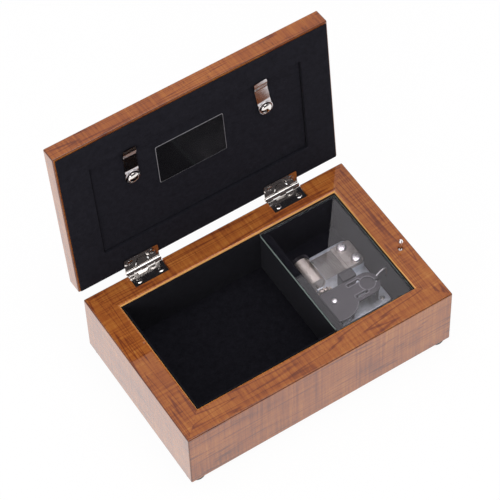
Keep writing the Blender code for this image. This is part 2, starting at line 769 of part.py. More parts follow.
def make_glass_cover(box):
    glass = block(
        "glass_cover",
        (SPLIT_X + GAP, -INNER_Y + GAP, GLASS_BOTTOM),
        (INNER_X - GAP, INNER_Y - GAP, GLASS_TOP),
        box,
        "glass",
    )
    bevel = glass.modifiers.new("ground_edges", "BEVEL")
    bevel.width = 0.15 * GLASS_THICKNESS
    bevel.segments = 1


def make_feet(box):
    """Low turned feet under the corners."""
    height = FOOT_HEIGHT - GAP
    profile = [
        (0.0, height),
        (FOOT_RADIUS, height),
        (FOOT_RADIUS, 0.7 * height),
        (0.94 * FOOT_RADIUS, 0.3 * height),
        (0.78 * FOOT_RADIUS, 0.0),
        (0.0, 0.0),
    ]
    inset = FOOT_RADIUS + FOOT_EDGE
    for row, y in (("front", -BOX_DEPTH / 2 + inset), ("back", BOX_DEPTH / 2 - inset)):
        for side, x in (("left", -BOX_WIDTH / 2 + inset), ("right", BOX_WIDTH / 2 - inset)):
            turned("foot_" + row + "_" + side, profile, (x, y, 0.0), box, "rubber", 16)


def screw_hole(name, head, shank, seat, length, place_at, parent, rotation=(0.0, 0.0, 0.0)):
    """The cutter of a countersunk screw's hole; the screw points down from its seat."""
    loose = RUNNING
    profile = [
        (0.0, seat + OVERCUT),
        (head + loose, seat + OVERCUT),
        (head + loose, seat),
        (shank + loose, seat - HINGE_LEAF_THICKNESS),
        (shank + loose, seat - length - GAP),
        (0.0, seat - length - GAP),
    ]
    cutter = turned(name, profile, place_at, parent, None, 12)
    cutter.rotation_euler = rotation
    return cutter


def make_hinge_screw(name, place_at, parent, rotation):
    """A countersunk screw with a slightly raised head, and the hole for it."""
    head, shank = HINGE_SCREW_HEAD, HINGE_SCREW_SHANK
    profile = [
        (0.0, HINGE_SCREW_DOME),
        (0.6 * head, 0.75 * HINGE_SCREW_DOME),
        (head, 0.0),
        (shank, -HINGE_LEAF_THICKNESS),
        (shank, -HINGE_SCREW_LENGTH + shank),
        (0.0, -HINGE_SCREW_LENGTH),
    ]
    screw = turned(name, profile, place_at, parent, "nickel", 12)
    screw.rotation_euler = rotation
    hole = screw_hole(
        name + "_hole_cutter", head, shank, 0.0, HINGE_SCREW_LENGTH, place_at, parent, rotation
    )
    return hole


def make_leaf(name, side_of_axis, knuckles, x, parent):
    """One leaf with its share of the knuckles. Its frame is the hinge axis; the leaf runs towards
    -Y, above the axis when side_of_axis is 1 and below it when it is -1."""
    low_z, high_z = sorted(
        (side_of_axis * (LEAF_SEAT - HINGE_LEAF_THICKNESS), side_of_axis * LEAF_SEAT)
    )
    half = HINGE_LENGTH / 2
    leaf = block(
        name,
        (x - half, -LEAF_EDGE, low_z),
        (x + half, -KNUCKLE_RADIUS - GAP, high_z),
        parent,
        "nickel",
        LEAF_ROUND,
        1,
    )
    pitch = HINGE_LENGTH / KNUCKLE_COUNT
    for k in knuckles:
        start = x - half + k * pitch + (KNUCKLE_GAP / 2 if k else 0.0)
        end = x - half + (k + 1) * pitch - (KNUCKLE_GAP / 2 if k < KNUCKLE_COUNT - 1 else 0.0)
        inset = UNION_INSET
        tab = block(
            f"{name}_tab_{k}_cutter",
            (start + inset, -KNUCKLE_RADIUS - HINGE_LEAF_THICKNESS, low_z + inset),
            (end - inset, -LEAF_ROOT, high_z - inset),
            parent,
        )
        knuckle = rod(
            f"{name}_knuckle_{k}_cutter",
            (start, 0.0, 0.0),
            (end, 0.0, 0.0),
            KNUCKLE_RADIUS,
            parent,
            sides=12,
        )
        join(leaf, tab, knuckle)
    bore = rod(
        name + "_bore_cutter",
        (x - half - OVERCUT, 0.0, 0.0),
        (x + half + OVERCUT, 0.0, 0.0),
        KNUCKLE_BORE,
        parent,
        sides=8,
    )
    cut(leaf, bore)
    return leaf


def make_tongue(name, x, parent):
    """The stop hinge's pressed tongue: a low wedge on the lid leaf's inner face, narrowing away
    from the knuckles."""
    root = -KNUCKLE_RADIUS - 2 * GAP
    tip = root - TONGUE_REACH
    middle = (root + tip) / 2
    half_root, half_tip = TONGUE_ROOT_WIDTH / 2, TONGUE_TIP_WIDTH / 2
    outline = [
        (-half_root, root - middle),
        (-half_tip, tip - middle),
        (half_tip, tip - middle),
        (half_root, root - middle),
    ]
    inner_face = LEAF_SEAT - HINGE_LEAF_THICKNESS
    tongue = plate(name, [outline], TONGUE_THICKNESS, (x, middle, inner_face), parent)
    tongue.rotation_euler = (-TONGUE_LEAN, 0.0, 0.0)
    return tongue


def make_hinges(box, lid_pivot, carcass, lid_frame, lid_lining):
    """Two butt hinges, each with two leaves, a headed pin and four countersunk screws."""
    base_pivot = pivot("hinge_axis", (0.0, HINGE_AXIS_Y, HINGE_AXIS_Z), box)
    screw_y = -LEAF_EDGE + HINGE_SCREW_FROM_EDGE
    for side, x in (("left", -HINGE_X), ("right", HINGE_X)):
        base_leaf = make_leaf(f"hinge_{side}_base_leaf", -1, range(0, KNUCKLE_COUNT, 2), x, base_pivot)
        lid_leaf = make_leaf(f"hinge_{side}_lid_leaf", 1, range(1, KNUCKLE_COUNT, 2), x, lid_pivot)
        join(lid_leaf, make_tongue(f"hinge_{side}_tongue_cutter", x, lid_pivot))
        for end, dx in (("outer", -HINGE_SCREW_X), ("inner", HINGE_SCREW_X)):
            at_x = x + (dx if side == "left" else -dx)
            hole = make_hinge_screw(
                f"hinge_screw_{side}_base_{end}",
                (at_x, screw_y, -LEAF_SEAT + HINGE_LEAF_THICKNESS),
                base_pivot,
                (0.0, 0.0, 0.0),
            )
            cut(base_leaf, hole)
            cut(carcass, hole)
            hole = make_hinge_screw(
                f"hinge_screw_{side}_lid_{end}",
                (at_x, screw_y, LEAF_SEAT - HINGE_LEAF_THICKNESS),
                lid_pivot,
                (math.pi, 0.0, 0.0),
            )
            cut(lid_leaf, hole)
            cut(lid_lining, hole)
            cut(lid_frame, hole)
        half = HINGE_LENGTH / 2 + RUNNING
        button = half + HINGE_PIN_BUTTON_HEIGHT
        profile = [
            (0.0, button),
            (HINGE_PIN_BUTTON, button - HINGE_PIN_EDGE),
            (HINGE_PIN_BUTTON, half),
            (HINGE_PIN_RADIUS, half),
            (HINGE_PIN_RADIUS, -half),
            (HINGE_PIN_BUTTON, -half),
            (HINGE_PIN_BUTTON, HINGE_PIN_EDGE - button),
            (0.0, -button),
        ]
        pin = turned(f"hinge_{side}_pin", profile, (x, 0.0, 0.0), base_pivot, "nickel", 12)
        pin.rotation_euler = (0.0, math.radians(90.0), 0.0)


def make_lid(lid):
    """The wooden frame, its velvet face, and what its window holds, in the closed lid's frame."""
    frame = block(
        "lid_frame",
        (-BOX_WIDTH / 2, LID_FRONT, LID_WOOD_BOTTOM),
        (BOX_WIDTH / 2, LID_BACK, LID_TOP),
        lid,
        "wood",
        OUTER_ROUND,
    )
    turn_in = LID_LINING_THICKNESS + GAP
    window = block(
        "window_cutter",
        (WINDOW_LEFT - turn_in, WINDOW_FRONT - turn_in, LID_FACE - OVERCUT),
        (WINDOW_RIGHT + turn_in, WINDOW_BACK + turn_in, LID_TOP - WINDOW_LIP_THICKNESS),
        lid,
    )
    lip = WINDOW_LIP_WIDTH
    sight = flared_opening(
        "sight_cutter",
        (WINDOW_LEFT + lip, WINDOW_FRONT + lip, LID_WOOD_BOTTOM - OVERCUT),
        (WINDOW_RIGHT - lip, WINDOW_BACK - lip, LID_TOP),
        WINDOW_LIP_CHAMFER,
        1,
        lid,
    )
    cut(frame, window, sight)
    lining = block(
        "lid_lining",
        (-BOX_WIDTH / 2 + LID_LINING_MARGIN, LID_FRONT + LID_LINING_MARGIN, LID_FACE),
        (BOX_WIDTH / 2 - LID_LINING_MARGIN, LID_BACK - LID_LINING_MARGIN, LID_FACE + LID_LINING_THICKNESS),
        lid,
        "velvet",
    )
    turned_in = block(
        "lining_collar_cutter",
        (WINDOW_LEFT - LID_LINING_THICKNESS, WINDOW_FRONT - LID_LINING_THICKNESS, LID_FACE + UNION_INSET),
        (WINDOW_RIGHT + LID_LINING_THICKNESS, WINDOW_BACK + LID_LINING_THICKNESS, PANEL_FACE - GAP),
        lid,
    )
    opening = block(
        "lining_opening_cutter",
        (WINDOW_LEFT, WINDOW_FRONT, LID_FACE - OVERCUT),
        (WINDOW_RIGHT, WINDOW_BACK, PANEL_FACE),
        lid,
    )
    join(lining, turned_in)
    cut(lining, opening)
    fit = PANEL_CLEARANCE
    low_x, high_x = WINDOW_LEFT + fit, WINDOW_RIGHT - fit
    low_y, high_y = WINDOW_FRONT + fit, WINDOW_BACK - fit
    block(
        "lid_window",
        (low_x, low_y, WINDOW_GLASS_TOP - WINDOW_GLASS_THICKNESS),
        (high_x, high_y, WINDOW_GLASS_TOP),
        lid,
        "glass",
    )
    block(
        "picture_card",
        (low_x, low_y, PICTURE_TOP - PICTURE_THICKNESS),
        (high_x, high_y, PICTURE_TOP),
        lid,
        "picture",
    )
    panel = block("backing_panel", (low_x, low_y, PANEL_FACE), (high_x, high_y, PANEL_TOP), lid, "velvet")
    label_y = LID_BACK - LABEL_FROM_BACK
    block(
        "label_card",
        (LABEL_X - LABEL_WIDTH / 2, label_y - LABEL_HEIGHT / 2, PANEL_FACE - GAP - LABEL_THICKNESS),
        (LABEL_X + LABEL_WIDTH / 2, label_y + LABEL_HEIGHT / 2, PANEL_FACE - GAP),
        lid,
        "gloss_card",
    )
    make_clip("left", -CLIP_X, 0.0, panel, lid)
    make_clip("right", CLIP_X, RIGHT_CLIP_TURN, panel, lid)
    return frame, lining


def make_clip(side, x, turn, panel, lid):
    """A swing clip: a round eye under a domed screw, and a spring arm whose tip steps up over the
    window's free edge. Its pivot looks out of the panel, with the arm along its +Y."""
    clip_y = LID_BACK - CLIP_FROM_BACK
    to_edge = clip_y - WINDOW_FRONT
    axis = pivot(f"clip_{side}_pivot", (x, clip_y, PANEL_FACE), lid, (math.pi, 0.0, -turn))
    eye_top = GAP + CLIP_EYE_THICKNESS
    clip = rod(f"clip_{side}", (0, 0, GAP), (0, 0, eye_top), CLIP_EYE_RADIUS, axis, "nickel", 28)
    fold = to_edge - CLIP_FOLD_BACK
    low, high = GAP, PANEL_RECESS + GAP
    middle = GAP + (CLIP_EYE_THICKNESS - CLIP_SHEET) / 2
    path = [
        (0.5 * CLIP_EYE_RADIUS, middle),
        (0.9 * CLIP_EYE_RADIUS, middle),
        (CLIP_EYE_RADIUS + CLIP_SHEET, low),
        (fold, low),
        (fold + CLIP_RAMP, high),
        (to_edge + CLIP_TIP_LAP, high),
    ]
    side_view = path + [(y, z + CLIP_SHEET) for y, z in reversed(path)]
    arm = plate(f"clip_{side}_arm_cutter", [side_view], CLIP_WIDTH, (0.0, 0.0, 0.0), axis)
    # The side view's x is the arm's length and its y the height over the panel
    arm.rotation_euler = (math.radians(90.0), 0.0, math.radians(90.0))
    join(clip, arm)
    bore = CLIP_SCREW_SHANK + CLIP_BORE_CLEARANCE
    cut(clip, rod(f"clip_{side}_bore_cutter", (0, 0, -OVERCUT), (0, 0, eye_top + OVERCUT), bore, axis))
    seat = eye_top + GAP
    head, rise = CLIP_SCREW_HEAD, CLIP_SCREW_HEAD_HEIGHT
    profile = [
        (0.0, seat + rise),
        (0.5 * head, seat + 0.88 * rise),
        (0.85 * head, seat + 0.5 * rise),
        (head, seat + 0.1 * rise),
        (head, seat),
        (CLIP_SCREW_SHANK, seat),
        (CLIP_SCREW_SHANK, -CLIP_SCREW_LENGTH),
        (0.0, -CLIP_SCREW_LENGTH - 0.3 * CLIP_SCREW_SHANK),
    ]
    turned(f"clip_screw_{side}", profile, (0.0, 0.0, 0.0), axis, "nickel", 16)
    hole = rod(
        f"clip_{side}_hole_cutter",
        (0.0, 0.0, OVERCUT),
        (0.0, 0.0, -CLIP_SCREW_LENGTH - CLIP_SCREW_SHANK),
        CLIP_SCREW_SHANK + RUNNING,
        axis,
        sides=16,
    )
    cut(panel, hole)


def make_stop(box):
    """The necked pin under the lid, its return spring, and the wire it carries to the governor."""
    foot = STOP_WIRE_Z - STOP_FOOT_BELOW_WIRE
    centre = BODY_TOP + STOP_HEAD_ABOVE
    neck = math.asin(STOP_NECK_RADIUS / STOP_HEAD_RADIUS)
    shoulder = BODY_TOP - STOP_NECK_BELOW_RIM
    steps = 6
    profile = []
    for k in range(steps + 1):
        turn = (math.pi - neck) * k / steps
        profile.append((STOP_HEAD_RADIUS * math.sin(turn), centre + STOP_HEAD_RADIUS * math.cos(turn)))
    profile += [(STOP_NECK_RADIUS, shoulder), (STOP_PIN_RADIUS, shoulder)]
    profile += [(STOP_PIN_RADIUS, foot), (0.0, foot)]
    pin = turned("stop_pin", profile, (STOP_X, STOP_Y, 0.0), box, "nickel", 16)
    cross_hole = rod(
        "stop_cross_hole_cutter",
        (STOP_X + STOP_BORE_RADIUS, STOP_Y, STOP_WIRE_Z),
        (STOP_X - STOP_BORE_RADIUS, STOP_Y, STOP_WIRE_Z),
        STOP_WIRE_RADIUS + RUNNING,
        box,
        sides=12,
    )
    cut(pin, cross_hole)
    lift = STOP_TIP_Z - STOP_WIRE_Z
    points = [
        (STOP_X + STOP_PIN_RADIUS, STOP_Y, STOP_WIRE_Z),
        (INNER_X - LINING_THICKNESS - GAP, STOP_Y, STOP_WIRE_Z),
        (STOP_WIRE_BEND_X, STOP_Y + 0.15 * (STOP_TIP_Y - STOP_Y), STOP_WIRE_Z + 0.1 * lift),
        (
            (STOP_WIRE_BEND_X + STOP_TIP_X) / 2,
            STOP_Y + 0.6 * (STOP_TIP_Y - STOP_Y),
            STOP_WIRE_Z + 0.55 * lift,
        ),
        (STOP_TIP_X, STOP_TIP_Y, STOP_TIP_Z),
    ]
    wire("stop_wire", points, STOP_WIRE_RADIUS, box, "steel", 2)
    bottom = BODY_TOP - STOP_BORE_DEPTH + GAP / 2 + SPRING_WIRE_RADIUS
    top = foot - GAP / 2 - SPRING_WIRE_RADIUS
    per_turn = 6
    count = SPRING_TURNS * per_turn
    coil = []
    for k in range(count + 1):
        turn = 2 * math.pi * k / per_turn
        x = STOP_X + SPRING_COIL_RADIUS * math.cos(turn)
        y = STOP_Y + SPRING_COIL_RADIUS * math.sin(turn)
        coil.append((x, y, bottom + (top - bottom) * k / count))
    wire("pin_spring", coil, SPRING_WIRE_RADIUS, box, "steel", 0)


def crown_wheel(name, bore, location, parent):
    """The drive wheel: a flat disc with upright teeth round its rim."""
    mesh = bpy.data.meshes.new(name)
    bm = bmesh.new()
    half = TOOTH_WIDTH / 2 / MESH_RADIUS
    angles = []
    for k in range(WHEEL_TEETH):
        centre = CYLINDER_MESH_ANGLE + 2 * math.pi * (k + 0.5) / WHEEL_TEETH
        angles += [centre - half, centre + half]
    radii = [bore, WHEEL_RADIUS - WHEEL_RING, WHEEL_RADIUS]
    levels = []
    for z in (0.0, WHEEL_PLATE):
        levels.append(
            [[bm.verts.new((r * math.cos(a), r * math.sin(a), z)) for a in angles] for r in radii]
        )
    count = len(angles)
    teeth = []
    for k in range(count):
        n = (k + 1) % count
        for inner, outer in ((0, 1), (1, 2)):
            low, high = levels[0], levels[1]
            bm.faces.new((low[inner][n], low[outer][n], low[outer][k], low[inner][k]))
            top = bm.faces.new((high[inner][k], high[outer][k], high[outer][n], high[inner][n]))
            if inner == 1 and k % 2 == 0:
                teeth.append(top)
        bm.faces.new((levels[0][2][k], levels[0][2][n], levels[1][2][n], levels[1][2][k]))
        bm.faces.new((levels[0][0][n], levels[0][0][k], levels[1][0][k], levels[1][0][n]))
    raised = bmesh.ops.extrude_discrete_faces(bm, faces=teeth)["faces"]
    rise = MESH_Z + ADDENDUM - WHEEL_BOTTOM - WHEEL_PLATE
    for face in raised:
        bmesh.ops.translate(bm, vec=(0.0, 0.0, rise), verts=face.verts)
    bmesh.ops.recalc_face_normals(bm, faces=bm.faces)
    bm.to_mesh(mesh)
    bm.free()
    return smooth(place(name, mesh, location, parent, "zinc"))


def make_winding(box):
    """The arbor that the key winds, the key under the box, and the drive wheel on the arbor."""
    top = COVER_UNDER - GAP - HOUSING_WALL - 2 * GAP - COVER_RIVET_HEIGHT
    key_low = KEY_GROUND_CLEARANCE
    key_high = BOARD_BOTTOM - GAP
    arbor_low = key_low + KEY_WING_RADIUS
    at = (BARREL_X, BARREL_Y)
    rod("winding_arbor", (*at, arbor_low), (*at, top), WINDING_ARBOR_RADIUS, box, "steel")
    crown_wheel("drive_wheel", WINDING_ARBOR_RADIUS + RUNNING, (*at, WHEEL_BOTTOM), box)
    key = rod("winding_key", (*at, key_low), (*at, key_high), KEY_HUB_RADIUS, box, "nickel", 24)
    reach = KEY_SPAN / 2 - KEY_WING_RADIUS
    outline = []
    steps = 8
    for end in (1, -1):
        for k in range(steps + 1):
            turn = math.radians(-90.0 + 180.0 * k / steps)
            x, y = KEY_WING_RADIUS * math.cos(turn), KEY_WING_RADIUS * math.sin(turn)
            outline.append((end * (reach + x), end * y))
    holes = [circle(0.5 * KEY_WING_RADIUS, 8, end * reach) for end in (1, -1)]
    wings = plate(
        "key_wings_cutter",
        [outline, *holes],
        KEY_SHEET,
        (*at, key_low + KEY_WING_RADIUS),
        box,
    )
    wings.rotation_euler = (math.radians(90.0), 0.0, 0.0)
    bore = rod(
        "key_bore_cutter",
        (*at, arbor_low - GAP),
        (*at, key_high + OVERCUT),
        WINDING_ARBOR_RADIUS + RUNNING,
        box,
    )
    join(key, wings)
    cut(key, bore)


def make_bedplate(box):
    """The cast bed: a plate with the comb's pedestal and the cylinder's front bearing on it."""
    width, depth = BED_RIGHT - BED_LEFT, BED_BACK - BED_FRONT
    steps = 4
    outline = []
    for quarter, (sx, sy) in enumerate(((1, 1), (-1, 1), (-1, -1), (1, -1))):
        for k in range(steps + 1):
            turn = math.radians(90.0) * (quarter + k / steps)
            x = sx * (width / 2 - BED_CORNER) + BED_CORNER * math.cos(turn)
            y = sy * (depth / 2 - BED_CORNER) + BED_CORNER * math.sin(turn)
            outline.append((x, y))
    centre = ((BED_LEFT + BED_RIGHT) / 2, (BED_FRONT + BED_BACK) / 2, BED_BOTTOM + BED_THICKNESS / 2)
    bed = plate("bedplate", [outline], BED_THICKNESS, centre, box, "zinc")
    root = BED_TOP - BED_THICKNESS / 4
    half_comb = NOTES * NOTE_PITCH / 2 + COMB_EDGE
    pedestal = block(
        "pedestal_cutter",
        (COMB_TIP_X + COMB_TOOTH_LENGTH + COMB_THICKNESS, COMB_Y - half_comb, root),
        (COMB_HEEL_X, COMB_Y + half_comb, COMB_HEEL_BOTTOM - GAP),
        box,
    )
    bearing_y = (BARREL_Y + WHEEL_RADIUS + CYLINDER_FRONT) / 2
    post = block(
        "front_post_cutter",
        (CYLINDER_X - BEARING_WIDTH / 3, bearing_y - BEARING_THICKNESS / 2, root),
        (
            CYLINDER_X + BEARING_WIDTH / 3,
            bearing_y + BEARING_THICKNESS / 2,
            CYLINDER_Z + 2 * ARBOR_RADIUS,
        ),
        box,
    )
    join(bed, pedestal, post)
    post_bore = rod(
        "front_bore_cutter",
        (CYLINDER_X, bearing_y - BEARING_THICKNESS, CYLINDER_Z),
        (CYLINDER_X, bearing_y + BEARING_THICKNESS, CYLINDER_Z),
        ARBOR_RADIUS + RUNNING,
        box,
        sides=16,
    )
    arbor_hole = rod(
        "arbor_hole_cutter",
        (BARREL_X, BARREL_Y, BED_BOTTOM - OVERCUT),
        (BARREL_X, BARREL_Y, BED_TOP + WHEEL_CLEARANCE / 2),
        WINDING_ARBOR_RADIUS + GAP,
        box,
    )
    pivot_hole = rod(
        "fan_pivot_cutter",
        (GOVERNOR_X, GOVERNOR_Y, BED_TOP - PIVOT_DEPTH - GAP),
        (GOVERNOR_X, GOVERNOR_Y, BED_TOP + OVERCUT),
        FAN_SHAFT_RADIUS + RUNNING,
        box,
        sides=12,
    )
    cut(bed, post_bore, arbor_hole, pivot_hole, *mount_screw_holes(box))
    return bed


def make_comb(bed, box):
    """Eighteen tuned teeth cut in a steel plate with a thick heel, and its two domed screws."""
    half = NOTES * NOTE_PITCH / 2 + COMB_EDGE
    heel_end = [
        (COMB_LENGTH - COMB_CHAMFER, -half),
        (COMB_LENGTH, -half + COMB_CHAMFER),
        (COMB_LENGTH, half - COMB_CHAMFER),
        (COMB_LENGTH - COMB_CHAMFER, half),
    ]
    outline = [*heel_end, (COMB_TOOTH_LENGTH, half)]
    for k in reversed(range(NOTES)):
        y = (k - (NOTES - 1) / 2) * NOTE_PITCH
        tooth = (NOTE_PITCH - COMB_SLOT) / 2
        outline += [
            (COMB_TOOTH_LENGTH, y + tooth),
            (0.0, y + 0.8 * tooth),
            (0.0, y - 0.8 * tooth),
            (COMB_TOOTH_LENGTH, y - tooth),
        ]
    outline.append((COMB_TOOTH_LENGTH, -half))
    location = (COMB_TIP_X, COMB_Y, COMB_TOP - COMB_THICKNESS / 2)
    comb = plate("comb", [outline], COMB_THICKNESS, location, box, "steel")
    heel_root = COMB_TOOTH_LENGTH + COMB_THICKNESS
    heel = plate(
        "comb_heel_cutter",
        [[(heel_root, -half), *heel_end, (heel_root, half)]],
        COMB_HEEL_THICKNESS,
        (COMB_TIP_X, COMB_Y, COMB_HEEL_TOP - COMB_HEEL_THICKNESS / 2),
        box,
    )
    join(comb, heel)
    seat = COMB_HEEL_TOP + GAP
    head, rise, shank = COMB_SCREW_HEAD, COMB_SCREW_HEAD_HEIGHT, COMB_SCREW_SHANK
    for end, way in (("back", 1), ("front", -1)):
        x = COMB_HEEL_X - COMB_SCREW_FROM_HEEL - way * COMB_SCREW_STAGGER
        y = COMB_Y + way * COMB_SCREW_SPREAD / 2
        profile = [
            (0.0, seat + rise),
            (0.45 * head, seat + 0.93 * rise),
            (0.8 * head, seat + 0.65 * rise),
            (head, seat + 0.2 * rise),
            (head, seat),
            (shank, seat),
            (shank, seat - COMB_SCREW_LENGTH),
            (0.0, seat - COMB_SCREW_LENGTH),
        ]
        turned("comb_screw_" + end, profile, (x, y, 0.0), box, "nickel", 16)
        hole = rod(
            f"comb_hole_{end}_cutter",
            (x, y, seat - COMB_SCREW_LENGTH - GAP),
            (x, y, seat + OVERCUT),
            shank + RUNNING,
            box,
            sides=16,
        )
        cut(comb, hole)
        cut(bed, hole)


def is_pinned(note, step):
    """A regular, made-up pattern of which notes sound at which step of the tune."""
    return (5 * note + 3 * step) % 13 == 0 or (note + 7 * step) % 29 == 0


def make_cylinder(box):
    """The pinned cylinder with its arbor, its driven pinion in front and its end gear behind."""
    mesh = bpy.data.meshes.new("cylinder")
    bm = bmesh.new()
    stops = [0.0, CYLINDER_END_BAND]
    stops += [CYLINDER_END_BAND + (note + 1) * NOTE_PITCH for note in range(NOTES)]
    stops.append(CYLINDER_LENGTH)
    rings = []
    for along in stops:
        ring = circle(CYLINDER_RADIUS, CYLINDER_SIDES)
        rings.append([bm.verts.new((x, along, -z)) for x, z in ring])
    bm.faces.new(rings[0])
    bm.faces.new(reversed(rings[-1]))
    pinned = []
    for band, (front, back) in enumerate(zip(rings, rings[1:])):
        for k in range(CYLINDER_SIDES):
            n = (k + 1) % CYLINDER_SIDES
            face = bm.faces.new((front[n], front[k], back[k], back[n]))
            if 1 <= band <= NOTES and is_pinned(band - 1, k):
                pinned.append(face)
    bmesh.ops.recalc_face_normals(bm, faces=bm.faces)
    bmesh.ops.inset_individual(bm, faces=pinned, thickness=PIN_INSET)
    for face in bmesh.ops.extrude_discrete_faces(bm, faces=pinned)["faces"]:
        out = face.normal.copy()
        bmesh.ops.translate(bm, vec=out * PIN_HEIGHT, verts=face.verts)
    bmesh.ops.recalc_face_normals(bm, faces=bm.faces)
    bm.to_mesh(mesh)
    bm.free()
    cylinder = place("cylinder", mesh, (CYLINDER_X, CYLINDER_FRONT, CYLINDER_Z), box, "brass")
    smooth(cylinder)
    end_gear_front = CYLINDER_BACK + GAP
    bearing_front = end_gear_front + END_GEAR_WIDTH + GAP
    arbor_front = CYLINDER_MESH_Y - PINION_WIDTH / 2
    arbor_back = bearing_front + 2 * BEARING_THICKNESS
    rod(
        "cylinder_arbor",
        (CYLINDER_X, arbor_front, CYLINDER_Z),
        (CYLINDER_X, arbor_back, CYLINDER_Z),
        ARBOR_RADIUS,
        box,
        "steel",
        sides=16,
    )
    bore = rod(
        "cylinder_bore_cutter",
        (CYLINDER_X, CYLINDER_FRONT - OVERCUT, CYLINDER_Z),
        (CYLINDER_X, CYLINDER_BACK + OVERCUT, CYLINDER_Z),
        ARBOR_RADIUS + RUNNING,
        box,
        sides=16,
    )
    cut(cylinder, bore)
    turn_to_y = (math.radians(-90.0), 0.0, 0.0)
    hole = circle(ARBOR_RADIUS + RUNNING, 16)
    # Seen along the arbor, the pinion's tooth at 90 degrees points down into the crown
    pinion = plate(
        "cylinder_pinion",
        [gear_outline(CYLINDER_PINION_TEETH, CYLINDER_PINION_RADIUS, math.radians(90.0)), hole],
        PINION_WIDTH,
        (CYLINDER_X, CYLINDER_MESH_Y, CYLINDER_Z),
        box,
        "brass",
    )
    pinion.rotation_euler = turn_to_y
    tooth = math.pi * END_GEAR_RADIUS / END_GEAR_TEETH
    end_gear = plate(
        "cylinder_gear",
        [gear_outline(END_GEAR_TEETH, END_GEAR_RADIUS - ADDENDUM, 0.0, tooth), hole],
        END_GEAR_WIDTH,
        (CYLINDER_X, end_gear_front + END_GEAR_WIDTH / 2, CYLINDER_Z),
        box,
        "black_plastic",
    )
    end_gear.rotation_euler = turn_to_y
    make_back_bearing(bearing_front, box)


def make_back_bearing(front, box):
    """A bent sheet bracket that carries the arbor's back end."""
    foot = block(
        "back_bearing",
        (CYLINDER_X - BEARING_WIDTH / 2, front, BED_TOP + GAP),
        (CYLINDER_X + BEARING_WIDTH / 2, front + BEARING_FOOT, BED_TOP + GAP + BEARING_THICKNESS),
        box,
        "nickel",
    )
    inset = UNION_INSET
    upright = block(
        "back_upright_cutter",
        (CYLINDER_X - BEARING_WIDTH / 2 + inset, front, BED_TOP + GAP + BEARING_THICKNESS / 2),
        (CYLINDER_X + BEARING_WIDTH / 2 - inset, front + BEARING_THICKNESS, CYLINDER_Z),
        box,
    )
    crown = rod(
        "back_crown_cutter",
        (CYLINDER_X, front, CYLINDER_Z),
        (CYLINDER_X, front + BEARING_THICKNESS, CYLINDER_Z),
        BEARING_WIDTH / 2 - inset,
        box,
    )
    bore = rod(
        "back_bore_cutter",
        (CYLINDER_X, front - OVERCUT, CYLINDER_Z),
        (CYLINDER_X, front + BEARING_THICKNESS + OVERCUT, CYLINDER_Z),
        ARBOR_RADIUS + RUNNING,
        box,
        sides=16,
    )
    join(foot, upright, crown)
    cut(foot, bore)


def make_spring_housing(box):
    """The can over the mainspring, the spring in it, and the rivet that hangs it on the cover."""
    top = COVER_UNDER - GAP
    bottom = WHEEL_BOTTOM + WHEEL_PLATE + HOUSING_CLEARANCE
    hole = COVER_RIVET_SHANK + RUNNING
    inside = HOUSING_RADIUS - HOUSING_WALL
    profile = [
        (hole, top),
        (HOUSING_RADIUS - GAP, top),
        (HOUSING_RADIUS, top - GAP),
        (HOUSING_RADIUS, bottom),
        (inside, bottom),
        (inside, top - HOUSING_WALL),
        (hole, top - HOUSING_WALL),
    ]
    turned("spring_housing", profile, (BARREL_X, BARREL_Y, 0.0), box, "zinc", 24, ring=True)
    low, high = bottom + GAP, top - HOUSING_WALL - GAP
    first, last = WINDING_ARBOR_RADIUS + 2 * GAP, inside - GAP - MAINSPRING_THICKNESS
    mesh = bpy.data.meshes.new("mainspring")
    bm = bmesh.new()
    count = int(MAINSPRING_TURNS * MAINSPRING_SIDES)
    columns = []
    for k in range(count + 1):
        turn = 2 * math.pi * k / MAINSPRING_SIDES
        radius = first + (last - first) * k / count
        x, y = radius * math.cos(turn), radius * math.sin(turn)
        columns.append((bm.verts.new((x, y, low)), bm.verts.new((x, y, high))))
    for (low_a, high_a), (low_b, high_b) in zip(columns, columns[1:]):
        bm.faces.new((low_a, low_b, high_b, high_a))
    bm.to_mesh(mesh)
    bm.free()
    spring = place("mainspring", mesh, (BARREL_X, BARREL_Y, 0.0), box, "steel")
    solidify = spring.modifiers.new("strip", "SOLIDIFY")
    solidify.thickness = MAINSPRING_THICKNESS
    solidify.offset = 0.0
    seat = COVER_Z + GAP
    tail = top - HOUSING_WALL - GAP
    profile = [
        (0.0, seat + COVER_RIVET_HEIGHT),
        (0.7 * COVER_RIVET_HEAD, seat + 0.8 * COVER_RIVET_HEIGHT),
        (COVER_RIVET_HEAD, seat),
        (COVER_RIVET_SHANK, seat),
        (COVER_RIVET_SHANK, tail),
        (1.5 * COVER_RIVET_SHANK, tail),
        (1.5 * COVER_RIVET_SHANK, tail - COVER_RIVET_HEIGHT),
        (0.0, tail - COVER_RIVET_HEIGHT),
    ]
    turned("cover_rivet", profile, (BARREL_X, BARREL_Y, 0.0), box, "nickel", 14)


def slot_outline(x, y, length, width):
    points = []
    steps = 6
    for end in (1, -1):
        for k in range(steps + 1):
            turn = math.radians(-90.0 + 180.0 * k / steps)
            dx, dy = width / 2 * math.cos(turn), width / 2 * math.sin(turn)
            points.append((x + end * (length / 2 - width / 2 + dx), y + end * dy))
    return points


